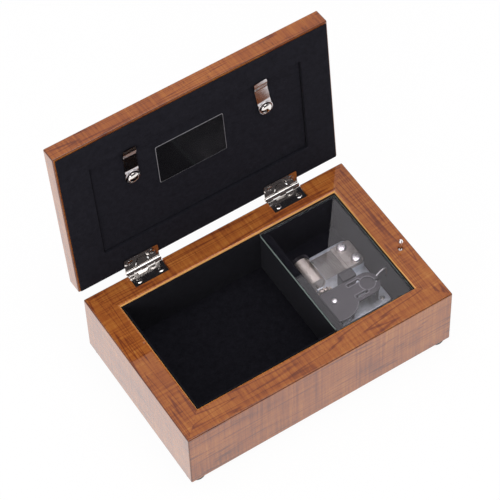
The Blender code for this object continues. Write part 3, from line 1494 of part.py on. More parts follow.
def make_cover(box):
    """The moulded cover: a round end over the spring housing, an arm with two long slots, and a
    round cap over the governor, on four legs."""
    to_cap = (GOVERNOR_X - BARREL_X, GOVERNOR_Y - BARREL_Y)
    arm = math.asin(COVER_CAP_RADIUS / COVER_RADIUS)
    steps = 36
    outline = []
    for k in range(steps + 1):
        turn = arm + (2 * math.pi - 2 * arm) * k / steps
        x, y = COVER_RADIUS * math.cos(turn), COVER_RADIUS * math.sin(turn)
        outline.append((max(x, -COVER_LEFT_CUT), min(y, COVER_BACK_CUT)))
    steps = 16
    for k in range(steps + 1):
        turn = math.radians(-90.0 + 180.0 * k / steps)
        x, y = COVER_CAP_RADIUS * math.cos(turn), COVER_CAP_RADIUS * math.sin(turn)
        outline.append((to_cap[0] + x, to_cap[1] + y))
    rivet_hole = circle(COVER_RIVET_SHANK + RUNNING, 16)
    location = (BARREL_X, BARREL_Y, COVER_Z - COVER_THICKNESS / 2)
    cover = plate(
        "movement_cover", [outline, rivet_hole], COVER_THICKNESS, location, box, "black_plastic"
    )
    root = COVER_Z - COVER_THICKNESS / 2
    leg_circles = (
        (BARREL_X, BARREL_Y, WHEEL_RADIUS + GAP + COVER_LEG_RADIUS, HOUSING_LEG_ANGLES),
        (GOVERNOR_X, GOVERNOR_Y, COVER_CAP_RADIUS - COVER_LEG_RADIUS - COVER_LEG_EDGE, CAP_LEG_ANGLES),
    )
    for number, (x, y, radius, angles) in enumerate(leg_circles):
        for angle in angles:
            at = (x + radius * math.cos(math.radians(angle)), y + radius * math.sin(math.radians(angle)))
            leg = rod(
                f"cover_leg_{number}_{int(angle)}_cutter",
                (*at, BED_TOP + GAP),
                (*at, root),
                COVER_LEG_RADIUS,
                box,
                sides=12,
            )
            join(cover, leg)
    rim_height = COVER_RIM_RISE + COVER_THICKNESS / 2
    cap_rim = rod(
        "cap_rim_cutter",
        (GOVERNOR_X, GOVERNOR_Y, root),
        (GOVERNOR_X, GOVERNOR_Y, root + rim_height),
        COVER_CAP_DISH + COVER_RIM_WIDTH,
        box,
        sides=32,
    )
    slots = []
    slot_rims = []
    for number, way in enumerate((1, -1)):
        at = (GOVERNOR_X - COVER_SLOT_BACK, GOVERNOR_Y + way * COVER_SLOT_SPREAD, root + rim_height / 2)
        grow = 2 * COVER_RIM_WIDTH
        rim = slot_outline(0.0, 0.0, COVER_SLOT_LENGTH + grow, COVER_SLOT_WIDTH + grow)
        slot = slot_outline(0.0, 0.0, COVER_SLOT_LENGTH, COVER_SLOT_WIDTH)
        through = 2 * (rim_height + OVERCUT)
        slot_rims.append(plate(f"slot_rim_{number}_cutter", [rim], rim_height, at, box))
        slots.append(plate(f"slot_{number}_cutter", [slot], through, at, box))
    join(cover, cap_rim, *slot_rims)
    dish = rod(
        "cap_dish_cutter",
        (GOVERNOR_X, GOVERNOR_Y, COVER_Z - COVER_CAP_DISH_DEPTH),
        (GOVERNOR_X, GOVERNOR_Y, COVER_Z + OVERCUT),
        COVER_CAP_DISH,
        box,
        sides=32,
    )
    pivot_hole = rod(
        "cap_pivot_cutter",
        (GOVERNOR_X, GOVERNOR_Y, COVER_UNDER - OVERCUT),
        (GOVERNOR_X, GOVERNOR_Y, COVER_UNDER + COVER_THICKNESS / 3),
        FAN_SHAFT_RADIUS + RUNNING,
        box,
        sides=12,
    )
    clear = STOP_WIRE_RADIUS + GAP
    notch = block(
        "stop_notch_cutter",
        (STOP_TIP_X - clear, min(STOP_Y, STOP_TIP_Y) - clear, COVER_UNDER - OVERCUT),
        (GOVERNOR_X + COVER_CAP_RADIUS + OVERCUT, max(STOP_Y, STOP_TIP_Y) + clear, COVER_Z + OVERCUT),
        box,
    )
    cut(cover, *slots, dish, pivot_hole, notch)


def make_governor(box):
    """The governor arbor, with its pinion and worm wheel, and the fan on its worm."""
    angle = GOVERNOR_MESH_ANGLE
    along = Vector((math.cos(angle), math.sin(angle), 0.0))
    across = Vector((-math.sin(angle), math.cos(angle), 0.0))
    down = Vector((0.0, 0.0, -1.0))
    turn = Matrix((down, across, along)).transposed()
    axis = pivot(
        "governor_arbor_axis", (BARREL_X, BARREL_Y, GOVERNOR_ARBOR_Z), box, turn.to_euler()
    )
    # The crown's gap nearest to this mesh sets how far the pinion's first tooth is turned
    pitch = 2 * math.pi / WHEEL_TEETH
    gaps = round((angle - CYLINDER_MESH_ANGLE) / pitch)
    ahead = CYLINDER_MESH_ANGLE + gaps * pitch - angle
    phase = ahead * WHEEL_TEETH / GOVERNOR_PINION_TEETH
    start = MESH_RADIUS - PINION_WIDTH / 2
    end = WORM_REACH + WORM_WHEEL_WIDTH / 2
    gear = rod("governor_gear", (0, 0, start), (0, 0, end), ARBOR_RADIUS, axis, "brass", 16)
    pinion = plate(
        "governor_pinion_cutter",
        [gear_outline(GOVERNOR_PINION_TEETH, GOVERNOR_PINION_RADIUS, phase)],
        PINION_WIDTH,
        (0.0, 0.0, MESH_RADIUS),
        axis,
    )
    tooth = math.pi * WORM_WHEEL_RADIUS / WORM_WHEEL_TEETH
    rise = WORM_TOOTH_RISE
    worm_wheel = plate(
        "worm_wheel_cutter",
        [gear_outline(WORM_WHEEL_TEETH, WORM_WHEEL_RADIUS - rise, 0.0, tooth, rise, rise)],
        WORM_WHEEL_WIDTH,
        (0.0, 0.0, WORM_REACH),
        axis,
    )
    join(gear, pinion, worm_wheel)
    make_fan(box)
    make_governor_block(axis, along, box)


def make_fan(box):
    """The upright fan shaft: worm, two-bladed air brake and a pivot at each end."""
    low = BED_TOP - PIVOT_DEPTH
    high = COVER_UNDER + COVER_THICKNESS / 3 - GAP / 2
    worm_low = GOVERNOR_ARBOR_Z - WORM_LENGTH / 2
    worm_high = GOVERNOR_ARBOR_Z + WORM_LENGTH / 2
    hub = 1.2 * WORM_RADIUS
    profile = [
        (0.0, high),
        (FAN_SHAFT_RADIUS, high),
        (FAN_SHAFT_RADIUS, FAN_TOP),
        (hub, FAN_TOP),
        (hub, FAN_TOP - FAN_HEIGHT),
        (FAN_SHAFT_RADIUS, FAN_TOP - FAN_HEIGHT),
        (FAN_SHAFT_RADIUS, worm_high),
        (WORM_RADIUS, worm_high),
        (WORM_RADIUS, worm_low),
        (FAN_SHAFT_RADIUS, worm_low),
        (FAN_SHAFT_RADIUS, low),
        (0.0, low),
    ]
    fan = turned("governor_fan", profile, (GOVERNOR_X, GOVERNOR_Y, 0.0), box, "black_plastic", 16)
    inset = UNION_INSET
    blades = block(
        "fan_blade_cutter",
        (GOVERNOR_X - FAN_RADIUS, GOVERNOR_Y - FAN_BLADE / 2, FAN_TOP - FAN_HEIGHT + inset),
        (GOVERNOR_X + FAN_RADIUS, GOVERNOR_Y + FAN_BLADE / 2, FAN_TOP - inset),
        box,
    )
    join(fan, blades)


def make_governor_block(axis, along, box):
    """The moulded block beside the comb, with the lug that carries the governor arbor."""
    comb_front = COMB_Y - NOTES * NOTE_PITCH / 2 - COMB_EDGE
    back = comb_front - BLOCK_BACK_GAP
    lug = Vector((BARREL_X, BARREL_Y, GOVERNOR_ARBOR_Z)) + BLOCK_LUG_REACH * along
    low = Vector((lug.x - BLOCK_LEFT_OF_LUG, back - BLOCK_WIDTH, BED_TOP + GAP))
    high = low + Vector((BLOCK_LENGTH, BLOCK_WIDTH, BLOCK_HEIGHT))
    bottom = low.z
    piece = block("governor_block", low, high, box, "black_plastic", BLOCK_ROUND)
    pocket = block(
        "block_pocket_cutter",
        (low.x + BLOCK_RIM, low.y + BLOCK_RIM, high.z - BLOCK_POCKET),
        (high.x - BLOCK_RIM, high.y - BLOCK_RIM, high.z + OVERCUT),
        box,
    )
    arm = block(
        "governor_lug_cutter",
        (lug.x - BLOCK_LUG / 2, lug.y - ARBOR_RADIUS - BLOCK_LUG_WALL, bottom),
        (lug.x + BLOCK_LUG / 2, back - BLOCK_WIDTH / 2, lug.z + ARBOR_RADIUS + BLOCK_LUG_WALL / 2),
        box,
    )
    bore = rod(
        "governor_bore_cutter",
        (0.0, 0.0, BLOCK_LUG_REACH - 2 * BLOCK_LUG),
        (0.0, 0.0, BLOCK_LUG_REACH + 2 * BLOCK_LUG),
        ARBOR_RADIUS + RUNNING,
        axis,
        sides=16,
    )
    join(piece, arm)
    cut(piece, bore, pocket)


def build():
    box = pivot("box_centre", (0.0, BOX_Y, 0.0))
    carcass = make_carcass(box)
    make_bottom_board(box)
    make_linings(box)
    make_glass_cover(box)
    make_feet(box)
    make_mount_screws(box)
    hinge = (0.0, HINGE_AXIS_Y, HINGE_AXIS_Z)
    lid = pivot("lid_pivot", hinge, box, (-LID_OPEN_ANGLE, 0.0, 0.0))
    lid_frame, lid_lining = make_lid(lid)
    make_hinges(box, lid, carcass, lid_frame, lid_lining)
    make_stop(box)
    bed = make_bedplate(box)
    make_comb(bed, box)
    make_cylinder(box)
    make_spring_housing(box)
    make_winding(box)
    make_governor(box)
    make_cover(box)


clear_scene()
PARTS = new_collection("musical_jewelry_box")
CUTTERS = new_collection("cutters")
build()
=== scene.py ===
# %% [markdown]
# # A musical jewelry box
# The box is a lacquered wooden case with a velvet-lined compartment, a wind-up movement under glass
# and a hinged lid. Its exact solids come from the CAD model. This notebook dresses them: it adds
# the camera, the light, the finishes, and the small forms that the solids leave plain.

# %% Load the solids
import json
import math
from functools import partial

import bmesh
import bpy
from mathutils import Matrix, Vector

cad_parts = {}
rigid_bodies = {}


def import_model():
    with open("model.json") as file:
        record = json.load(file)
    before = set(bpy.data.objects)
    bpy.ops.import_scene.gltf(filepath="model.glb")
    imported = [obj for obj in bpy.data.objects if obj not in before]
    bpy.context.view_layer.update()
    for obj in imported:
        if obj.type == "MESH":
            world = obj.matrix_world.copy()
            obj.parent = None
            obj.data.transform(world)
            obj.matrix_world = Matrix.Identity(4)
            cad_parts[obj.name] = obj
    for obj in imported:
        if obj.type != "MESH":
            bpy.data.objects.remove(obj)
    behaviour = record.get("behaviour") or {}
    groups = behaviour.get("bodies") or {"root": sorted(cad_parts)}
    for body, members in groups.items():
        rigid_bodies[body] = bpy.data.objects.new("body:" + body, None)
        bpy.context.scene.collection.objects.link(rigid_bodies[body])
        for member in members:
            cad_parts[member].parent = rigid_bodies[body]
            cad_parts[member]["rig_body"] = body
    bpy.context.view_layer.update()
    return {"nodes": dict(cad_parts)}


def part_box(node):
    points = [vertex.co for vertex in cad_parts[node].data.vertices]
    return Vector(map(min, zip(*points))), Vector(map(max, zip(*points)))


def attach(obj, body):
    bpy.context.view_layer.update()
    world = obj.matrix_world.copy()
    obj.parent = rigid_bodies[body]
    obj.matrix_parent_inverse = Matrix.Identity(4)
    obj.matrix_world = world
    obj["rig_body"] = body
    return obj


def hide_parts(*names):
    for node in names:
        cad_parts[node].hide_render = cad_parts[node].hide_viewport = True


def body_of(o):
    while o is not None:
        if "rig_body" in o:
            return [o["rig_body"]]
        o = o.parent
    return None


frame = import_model()
nodes = frame["nodes"]
MM = 0.001


def mm(x, y, z):
    """A point or a size given in millimetres."""
    return Vector((x, y, z)) * MM


# %% [markdown]
# ## Camera
# A long lens far away flattens perspective, as in a catalogue picture. The direction is given as
# three angles, so that it can be read and changed: azimuth round the box, elevation above the
# table, and a slight roll. An object made by bpy.data needs no operator and no window.

# %% Camera
AZIMUTH, ELEVATION, ROLL = (math.radians(angle) for angle in (-30.717, 54.425, -2.460))
CAMERA_PLACE = (-0.42543, -0.71131, 1.23856)
LENS = 179.84
round_box = (math.sin(AZIMUTH), -math.cos(AZIMUTH), math.tan(ELEVATION))
back = Vector(round_box) * math.cos(ELEVATION)
level = (-back).cross(Vector((0, 0, 1))).normalized()
upright = level.cross(-back)
right = math.cos(ROLL) * level + math.sin(ROLL) * upright
up = -math.sin(ROLL) * level + math.cos(ROLL) * upright
camera = bpy.data.objects.new("camera", bpy.data.cameras.new("camera"))
bpy.context.scene.collection.objects.link(camera)
turned = Matrix((right, up, back)).transposed().to_4x4()
camera.matrix_world = Matrix.Translation(CAMERA_PLACE) @ turned
camera.data.sensor_width = 36.0
camera.data.lens = LENS
camera.data.clip_end = 10.0
bpy.context.scene.camera = camera
print("camera stands", round(camera.location.length, 3), "m from the box")

# %% [markdown]
# ## Tools for nodes
# Light and finishes are small networks of shader nodes. Writing each link by hand hides what the
# network does, so a few helpers carry the wiring: they add a node, feed its sockets with values or
# with other sockets, and return what comes out.


# %% Node helpers
def feed(tree, socket, source):
    """Sets a socket to a plain value, or links it to another socket."""
    if isinstance(source, bpy.types.NodeSocket):
        tree.links.new(source, socket)
    else:
        socket.default_value = source


def add_node(tree, kind, inputs=None, **settings):
    """A new node with its settings and its inputs, by name or number."""
    made = tree.nodes.new("ShaderNode" + kind)
    for name, value in settings.items():
        setattr(made, name, value)
    for name, source in (inputs or {}).items():
        feed(tree, made.inputs[name], source)
    return made


def sum_node(tree, operation, *sources):
    """The result of one mathematical operation on numbers or sockets."""
    return add_node(tree, "Math", dict(enumerate(sources)), operation=operation).outputs[0]


def ranged(tree, value, start, end, low=0.0, high=1.0):
    """A number that goes from low to high as a value goes from a start to an end."""
    inputs = {"Value": value, "From Min": start, "From Max": end, "To Min": low, "To Max": high}
    return add_node(tree, "MapRange", inputs).outputs[0]


def mix_numbers(tree, share, first_number, second_number):
    """One number turned into another by a share."""
    inputs = {0: share, 2: first_number, 3: second_number}
    return add_node(tree, "Mix", inputs, data_type="FLOAT").outputs[0]


def mix_colours(tree, share, first_colour, second_colour, blend="MIX"):
    """One colour turned into another by a share."""
    inputs = {0: share, 6: first_colour, 7: second_colour}
    return add_node(tree, "Mix", inputs, data_type="RGBA", blend_type=blend).outputs[2]


def new_finish(name, **settings):
    """A material with its Principled shader, set by input names written with underscores."""
    finish = bpy.data.materials.new(name)
    finish.use_nodes = True
    principled = finish.node_tree.nodes["Principled BSDF"]
    for key, value in settings.items():
        principled.inputs[key.replace("_", " ")].default_value = value
    return finish, finish.node_tree, principled


def surface(tree, source):
    """Makes a shader the material's surface."""
    tree.links.new(source, tree.nodes["Material Output"].inputs["Surface"])


print("node helpers ready")

# %% [markdown]
# ## Light and floor
# The box stands in a white light tent. The world gives even light from all sides, and a large soft
# lamp overhead lifts what faces up. The tent has a dark opening, high in front, as where a camera
# looks in. Plain light doesn't need it, but lacquer and metal mirror it, and get their dark sides
# and crisp outlines from it, so only glossy rays see it. Rays from the camera or through glass see
# pure white.

# %% World
DIFFUSE_STRENGTH = 0.68
TENT_STRENGTH = 0.75
OPENING_STRENGTH = 0.10
OPENING_TOWARDS = Vector((0.0, -0.75, 0.65)).normalized()
OPENING_EDGE = (0.45, 0.80)
WHITE = (1.0, 1.0, 1.0, 1.0)
WARM_WHITE = (1.0, 0.94, 0.99, 1.0)
world = bpy.data.worlds.new("light_tent")
bpy.context.scene.world = world
world.use_nodes = True
tree = world.node_tree
sky = add_node(tree, "TexCoord").outputs["Generated"]
towards = add_node(tree, "VectorMath", {0: sky, 1: OPENING_TOWARDS}, operation="DOT_PRODUCT")
tent_image = ranged(tree, towards.outputs["Value"], *OPENING_EDGE, TENT_STRENGTH, OPENING_STRENGTH)
rays = add_node(tree, "LightPath").outputs
seen = sum_node(tree, "MAXIMUM", rays["Is Camera Ray"], rays["Is Transmission Ray"])
unseen = mix_numbers(tree, rays["Is Glossy Ray"], DIFFUSE_STRENGTH, tent_image)
tent = tree.nodes["Background"].inputs
feed(tree, tent["Strength"], mix_numbers(tree, seen, unseen, 1.0))
feed(tree, tent["Color"], mix_colours(tree, seen, WARM_WHITE, WHITE))
bpy.context.scene.view_settings.view_transform = "Standard"
print("tent opening towards", tuple(round(v, 2) for v in OPENING_TOWARDS))

# %% Lamps
LAMPS = {"overhead": ((0.05, -0.05, 1.3), 0.8, 7.0), "left_front": ((-1.1, -0.9, 0.7), 0.7, 7.2)}
lit_point = Vector((0.0, 0.0, 0.04))
for name, (location, size, watts) in LAMPS.items():
    lamp = bpy.data.objects.new(name, bpy.data.lights.new(name, "AREA"))
    lamp.data.size = size
    lamp.data.energy = watts
    bpy.context.scene.collection.objects.link(lamp)
    lamp.location = location
    lamp.rotation_euler = (lit_point - Vector(location)).to_track_quat("-Z", "Y").to_euler()
print(len(LAMPS), "lamps")

# %% Floor
GLOW_SHARE = 0.95
MIRRORED_GLOW = 1.45
bpy.ops.mesh.primitive_plane_add(size=6.0, location=(0, 0, -0.0002))
floor = bpy.context.object
floor.name = "floor"
paper, tree, shader = new_finish("white_sweep", Base_Color=(0.9, 0.9, 0.9, 1.0), Roughness=0.9)
rays = add_node(tree, "LightPath").outputs
brightness = ranged(tree, rays["Is Glossy Ray"], 0.0, 1.0, 1.0, MIRRORED_GLOW)
glow = add_node(tree, "Emission", {"Strength": brightness}).outputs[0]
looked_at = sum_node(tree, "MAXIMUM", rays["Is Camera Ray"], rays["Is Glossy Ray"])
share = sum_node(tree, "MULTIPLY", looked_at, GLOW_SHARE)
surface(tree, add_node(tree, "MixShader", {0: share, 1: shader.outputs[0], 2: glow}).outputs[0])
floor.data.materials.append(paper)
print("floor", floor.dimensions.x, "m wide")

# %% [markdown]
# ## Tools for patterns
# A finish is a pattern that feeds a shader. A pattern that several finishes share becomes a node
# group with named inputs and outputs, built once and given other values in each finish. A group puts
# out only what changes over the surface, and the shader itself stays in the material.


# %% Pattern helpers
def noise(tree, vector, per_metre, detail=2.0, roughness=0.5, stretch=None):
    """Noise from 0 to 1, in spots per metre. A small stretch number draws it out into lines."""
    if stretch is not None:
        vector = add_node(tree, "Mapping", {"Vector": vector, "Scale": stretch}).outputs[0]
    inputs = {"Vector": vector, "Scale": per_metre, "Detail": detail, "Roughness": roughness}
    return add_node(tree, "TexNoise", inputs).outputs["Fac"]


def new_group(name, inputs, outputs):
    """An empty shader group. Returns it with its given values and the sockets that it fills."""
    group = bpy.data.node_groups.new(name, "ShaderNodeTree")
    for direction, sockets in (("INPUT", inputs), ("OUTPUT", outputs)):
        for socket, (kind, value) in sockets.items():
            made = group.interface.new_socket(socket, in_out=direction, socket_type="NodeSocket" + kind)
            if value is not None:
                made.default_value = value
    given = group.nodes.new("NodeGroupInput").outputs
    return group, given, group.nodes.new("NodeGroupOutput").inputs


def use_group(tree, group, inputs):
    """The outputs of a group placed in a material with its own values."""
    made = tree.nodes.new("ShaderNodeGroup")
    made.node_tree = group
    for name, source in inputs.items():
        feed(tree, made.inputs[name], source)
    return made.outputs


def place_in_object(tree, location=(0, 0, 0), rotation=(0, 0, 0)):
    """The piece's own coordinates in metres, moved and turned to suit a pattern."""
    own = add_node(tree, "TexCoord").outputs["Object"]
    inputs = {"Vector": own, "Location": location, "Rotation": rotation}
    return add_node(tree, "Mapping", inputs).outputs[0]


def wear(tree, principled, pattern, relief, strength=1.0):
    """Links a pattern to the shader: its colour, its roughness if it has one, and its relief."""
    for name in ("Color", "Roughness"):
        if name in pattern:
            target = "Base Color" if name == "Color" else name
            tree.links.new(pattern[name], principled.inputs[target])
    inputs = {"Height": pattern["Height"], "Distance": relief, "Strength": strength}
    tree.links.new(add_node(tree, "Bump", inputs).outputs[0], principled.inputs["Normal"])


def dress(finish, *names):
    """Gives a finish to CAD nodes, in every slot that they have."""
    for name in names:
        for slot in nodes[name].material_slots:
            slot.material = finish


print("pattern helpers ready")

# %% [markdown]
# ## Wood
# The case is covered with a thin veneer whose figure is crossed: fine lines run across each rail,
# and longer, darker ones run along it. Five noises make it. Two are stretched, one each way, a slow
# one shifts the colour from gold to red, and a short one makes pores. The last is folded back and
# forth, which draws its level lines: these are the thin wavering lines of the grain. The veneer
# turns by 90 degrees at each mitre, so the pattern swaps its axes where two rails meet. Painted
# shade darkens the outer edges, and a painted gold highlight runs along the lip of the opening. An
# outer edge is where two of the three sides are near.

# %% Wood figure group
HALF_BOX = 0.09
ARRIS = 0.0007
WOOD_TONES = (
    (0.12, (0.110, 0.026, 0.010, 1.0)),
    (0.34, (0.270, 0.070, 0.018, 1.0)),
    (0.50, (0.440, 0.128, 0.024, 1.0)),
    (0.68, (0.570, 0.195, 0.034, 1.0)),
    (0.88, (0.740, 0.320, 0.070, 1.0)),
)
RED_HEART = (0.36, 0.075, 0.03, 1.0)
# Painted shade: the colour that darkens the outer edges of the wood.
PAINTED_EDGE_SHADE = (0.05, 0.014, 0.008, 1.0)
# Painted highlight: the gold colour of the lip of the opening.
PAINTED_LIP_HIGHLIGHT = (0.80, 0.46, 0.15, 1.0)
FIGURE_INPUTS = ("Inner Width", "Inner Depth", "Middle Height", "Half Height", "Crossing", "Lip Highlight")
figure, given, filled = new_group(
    "wood_figure",
    {"Vector": ("Vector", None)} | {name: ("Float", 0.0) for name in FIGURE_INPUTS},
    {"Color": ("Color", None), "Height": ("Float", None), "Polish": ("Float", None)},
)
calc = partial(sum_node, figure)
grain = partial(noise, figure)
within = partial(ranged, figure)
axes = add_node(figure, "SeparateXYZ", {0: given["Vector"]}).outputs
beyond_x = calc("SUBTRACT", calc("ABSOLUTE", axes[0]), given["Inner Width"])
beyond_y = calc("SUBTRACT", calc("ABSOLUTE", axes[1]), given["Inner Depth"])
plain = add_node(figure, "CombineXYZ", {0: axes[0], 1: axes[1], 2: axes[2]}).outputs[0]
swapped = add_node(figure, "CombineXYZ", {0: axes[1], 1: axes[0], 2: axes[2]}).outputs[0]
on_side = calc("GREATER_THAN", beyond_x, beyond_y)
along = add_node(figure, "Mix", {0: on_side, 4: plain, 5: swapped}, data_type="VECTOR").outputs[1]
across_lines = grain(along, 620.0, 3.0, 0.62, (1.0, 0.045, 0.03))
long_lines = grain(along, 480.0, 3.0, 0.6, (0.03, 1.0, 0.11))
pores = grain(along, 1500.0, 1.0, stretch=(1.0, 0.22, 0.18))
patches = grain(along, 48.0, 3.0, 0.55)
layers = grain(along, 110.0, 2.0, 0.4, (0.045, 1.0, 1.2))
tone = calc("MULTIPLY_ADD", mix_numbers(figure, given["Crossing"], across_lines, long_lines), 1.3, -0.09)
tone = calc("MULTIPLY_ADD", patches, 0.42, calc("SUBTRACT", tone, 0.21))
ring = calc("PINGPONG", calc("MULTIPLY", layers, 11.0), 0.5)
tone = calc("MULTIPLY", tone, within(ring, 0.0, 0.14, 0.42, 1.0))
ramp = add_node(figure, "ValToRGB", {0: tone})
stops = ramp.color_ramp.elements
while len(stops) < len(WOOD_TONES):
    stops.new(0.5)
for stop, (position, colour) in zip(stops, WOOD_TONES):
    stop.position = position
    stop.color = colour
shade = mix_colours(figure, calc("MULTIPLY", patches, 0.18), ramp.outputs[0], RED_HEART)
shade = mix_colours(figure, 1.0, shade, within(pores, 0.24, 0.38, 0.62, 1.0), "MULTIPLY")
rail_width = calc("SUBTRACT", HALF_BOX, given["Inner Width"])
above = calc("ABSOLUTE", calc("SUBTRACT", axes[2], given["Middle Height"]))
beyond_top = calc("SUBTRACT", above, given["Half Height"])
from_sides = [calc("SUBTRACT", distance, rail_width) for distance in (beyond_x, beyond_y)]
near = [within(distance, -ARRIS, 0.0) for distance in (*from_sides, beyond_top)]
# Painted shade: the colour darkens where two sides meet at an outer edge.
edge_shade_mask = within(calc("ADD", calc("ADD", near[0], near[1]), near[2]), 0.75, 1.25)
shade = mix_colours(figure, calc("MULTIPLY", edge_shade_mask, 0.8), shade, PAINTED_EDGE_SHADE)
# Painted highlight: a gold band round the lip of the opening, just below its top.
from_opening = calc("MAXIMUM", beyond_x, beyond_y)
lip = calc("MULTIPLY", within(from_opening, 0.0007, 0.0004), within(from_opening, -0.0008, -0.0004))
lip = calc("MULTIPLY", lip, within(beyond_top, -0.0016, -0.0012))
shade = mix_colours(figure, calc("MULTIPLY", lip, given["Lip Highlight"]), shade, PAINTED_LIP_HIGHLIGHT)
feed(figure, filled["Color"], shade)
feed(figure, filled["Height"], across_lines)
feed(figure, filled["Polish"], grain(given["Vector"], 35.0, 2.0))
print("wood tones:", len(WOOD_TONES))


# %% Wood finishes
def lacquered_wood(name, location, rotation, numbers):
    """The veneer under clear gloss lacquer. The lacquer is the coat, and stays almost smooth."""
    finish, tree, principled = new_finish(
        name, Coat_Weight=1.0, Coat_IOR=1.52, Coat_Roughness=0.03, Specular_IOR_Level=0.0)
    inputs = {"Vector": place_in_object(tree, location, rotation)} | dict(zip(FIGURE_INPUTS, numbers))
    pattern = use_group(tree, figure, inputs)
    wear(tree, principled, pattern, 0.00003)
    feed(tree, principled.inputs["Roughness"], sum_node(tree, "MULTIPLY_ADD", pattern["Polish"], 0.2, 0.3))
    return finish


LID_LEAN = math.radians(95.5)
HINGE_LINE = mm(0, 46.3, 47.5)
CASE_CENTRE_Y = -0.0132
LID_CENTRE_Y = -0.05945
CASE_LOW, CASE_HIGH = 0.003, 0.0485
LID_LOW, LID_HIGH = 0.0026, 0.0133
# The last number is the strength of the painted highlight on the lip; the lid has none.
case_numbers = (0.0742, 0.0417, (CASE_LOW + CASE_HIGH) / 2, (CASE_HIGH - CASE_LOW) / 2, 0.42, 0.75)
case_wood = lacquered_wood("case_wood", (0, -CASE_CENTRE_Y, 0), (0, 0, 0), case_numbers)
to_lid = (Matrix.Translation((0, -LID_CENTRE_Y, 0)) @ Matrix.Rotation(LID_LEAN, 4, "X")
          @ Matrix.Translation(-HINGE_LINE))
lid_numbers = (0.07, 0.037, (LID_LOW + LID_HIGH) / 2, (LID_HIGH - LID_LOW) / 2, 0.45, 0.0)
lid_wood = lacquered_wood("lid_wood", to_lid.translation, (LID_LEAN, 0, 0), lid_numbers)
print("wood for the case and the lid")

# %% [markdown]
# ## Velvet
# The linings are black flocked card: millions of short upright fibres. A dark matt base with a
# weak sheen gives the pale edge that fibres show when seen along the surface, and two noises give
# the mottling where the nap was brushed one way or the other.

# %% Velvet nap group
nap, given, filled = new_group(
    "velvet_nap",
    {"Vector": ("Vector", None), "Color": ("Color", None), "Brushed": ("Color", None)},
    {"Color": ("Color", None), "Height": ("Float", None)},
)
fibres = noise(nap, given["Vector"], 2200.0, 2.0, 0.6)
mottle = noise(nap, given["Vector"], 320.0, 4.0, 0.7)
both = sum_node(nap, "MULTIPLY_ADD", mottle, 0.6, sum_node(nap, "MULTIPLY", fibres, 0.4))
brushed_share = ranged(nap, both, 0.36, 0.64)
feed(nap, filled["Color"], mix_colours(nap, brushed_share, given["Color"], given["Brushed"]))
feed(nap, filled["Height"], fibres)
print("group", nap.name)


# %% Velvet finishes
def flocked(name, colour, brushed, sheen):
    """Short-pile velvet in one shade."""
    finish, tree, principled = new_finish(
        name, Roughness=0.95, Specular_IOR_Level=0.1, Sheen_Weight=sheen, Sheen_Roughness=0.4,
        Sheen_Tint=(0.55, 0.56, 0.62, 1.0))
    inputs = {"Vector": place_in_object(tree), "Color": colour, "Brushed": brushed}
    wear(tree, principled, use_group(tree, nap, inputs), 0.00025, 0.7)
    return finish


lid_velvet = flocked("lid_velvet", (0.0060, 0.0060, 0.0090, 1.0), (0.0125, 0.0125, 0.0175, 1.0), 0.05)
# The velvet of the wells is the lid's cloth made darker in colour: painted shade for the inside of the
# wells.
shaded_well_velvet = flocked("shaded_well_velvet", (0.0035, 0.0035, 0.0055, 1.0), (0.0085, 0.0085, 0.0120, 1.0), 0.12)
print("velvet for the linings")

# %% [markdown]
# ## Glass
# The cover over the movement is clear float glass. A refracting shader alone would stop lamps, so
# shadow rays and diffuse rays pass through a transparent shader instead, and the camera still sees
# reflections on both faces. A greenish tint shows only along the cut edge.

# %% Glass finish
GROUND_EDGE = 0.45 * MM
EDGE_GREEN = (0.42, 0.60, 0.54, 1.0)


def clear_glass(name, colour, centre, half_x, half_y):
    """Glass that lets lamps pass. Outside the half sizes lies its ground edge, which looks green."""
    finish, tree, principled = new_finish(name, Roughness=0.0, IOR=1.5, Transmission_Weight=1.0)
    place = add_node(tree, "SeparateXYZ", {0: place_in_object(tree, location=-centre)}).outputs
    beyond = [sum_node(tree, "GREATER_THAN", sum_node(tree, "ABSOLUTE", place[axis]), half)
              for axis, half in ((0, half_x), (1, half_y))]
    edge = sum_node(tree, "MAXIMUM", *beyond)
    feed(tree, principled.inputs["Base Color"], mix_colours(tree, edge, colour, EDGE_GREEN))
    rays = add_node(tree, "LightPath").outputs
    passing = sum_node(tree, "MAXIMUM", rays["Is Shadow Ray"], rays["Is Diffuse Ray"])
    open_air = add_node(tree, "BsdfTransparent").outputs[0]
    mixed = add_node(tree, "MixShader", {0: passing, 1: principled.outputs[0], 2: open_air})
    surface(tree, mixed.outputs[0])
    return finish


glass_low, glass_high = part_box("glass_cover")
half = (glass_high - glass_low) / 2 - Vector((GROUND_EDGE, GROUND_EDGE, 0))
glass_middle = (glass_low + glass_high) / 2
cover_glass = clear_glass("cover_glass", (0.985, 0.955, 1.0, 1.0), glass_middle, half.x, half.y)
window_glass = clear_glass("window_glass", (0.98, 0.99, 0.99, 1.0), Vector(), 1.0, 1.0)
print("glass for the cover and the window")

# %% [markdown]
# ## Metals
# Nickel plate, zinc plate, plain steel, cast zinc and brass differ in colour and in how they were
# worked. Each has the same kind of fine marks, so one group makes them: short brushed lines, and
# smudges from handling. A metal's Roughness follows them, which breaks its mirror image up as on the
# real surface. The spring steel of the clips is plated too, but mirrors less than the hinges do.

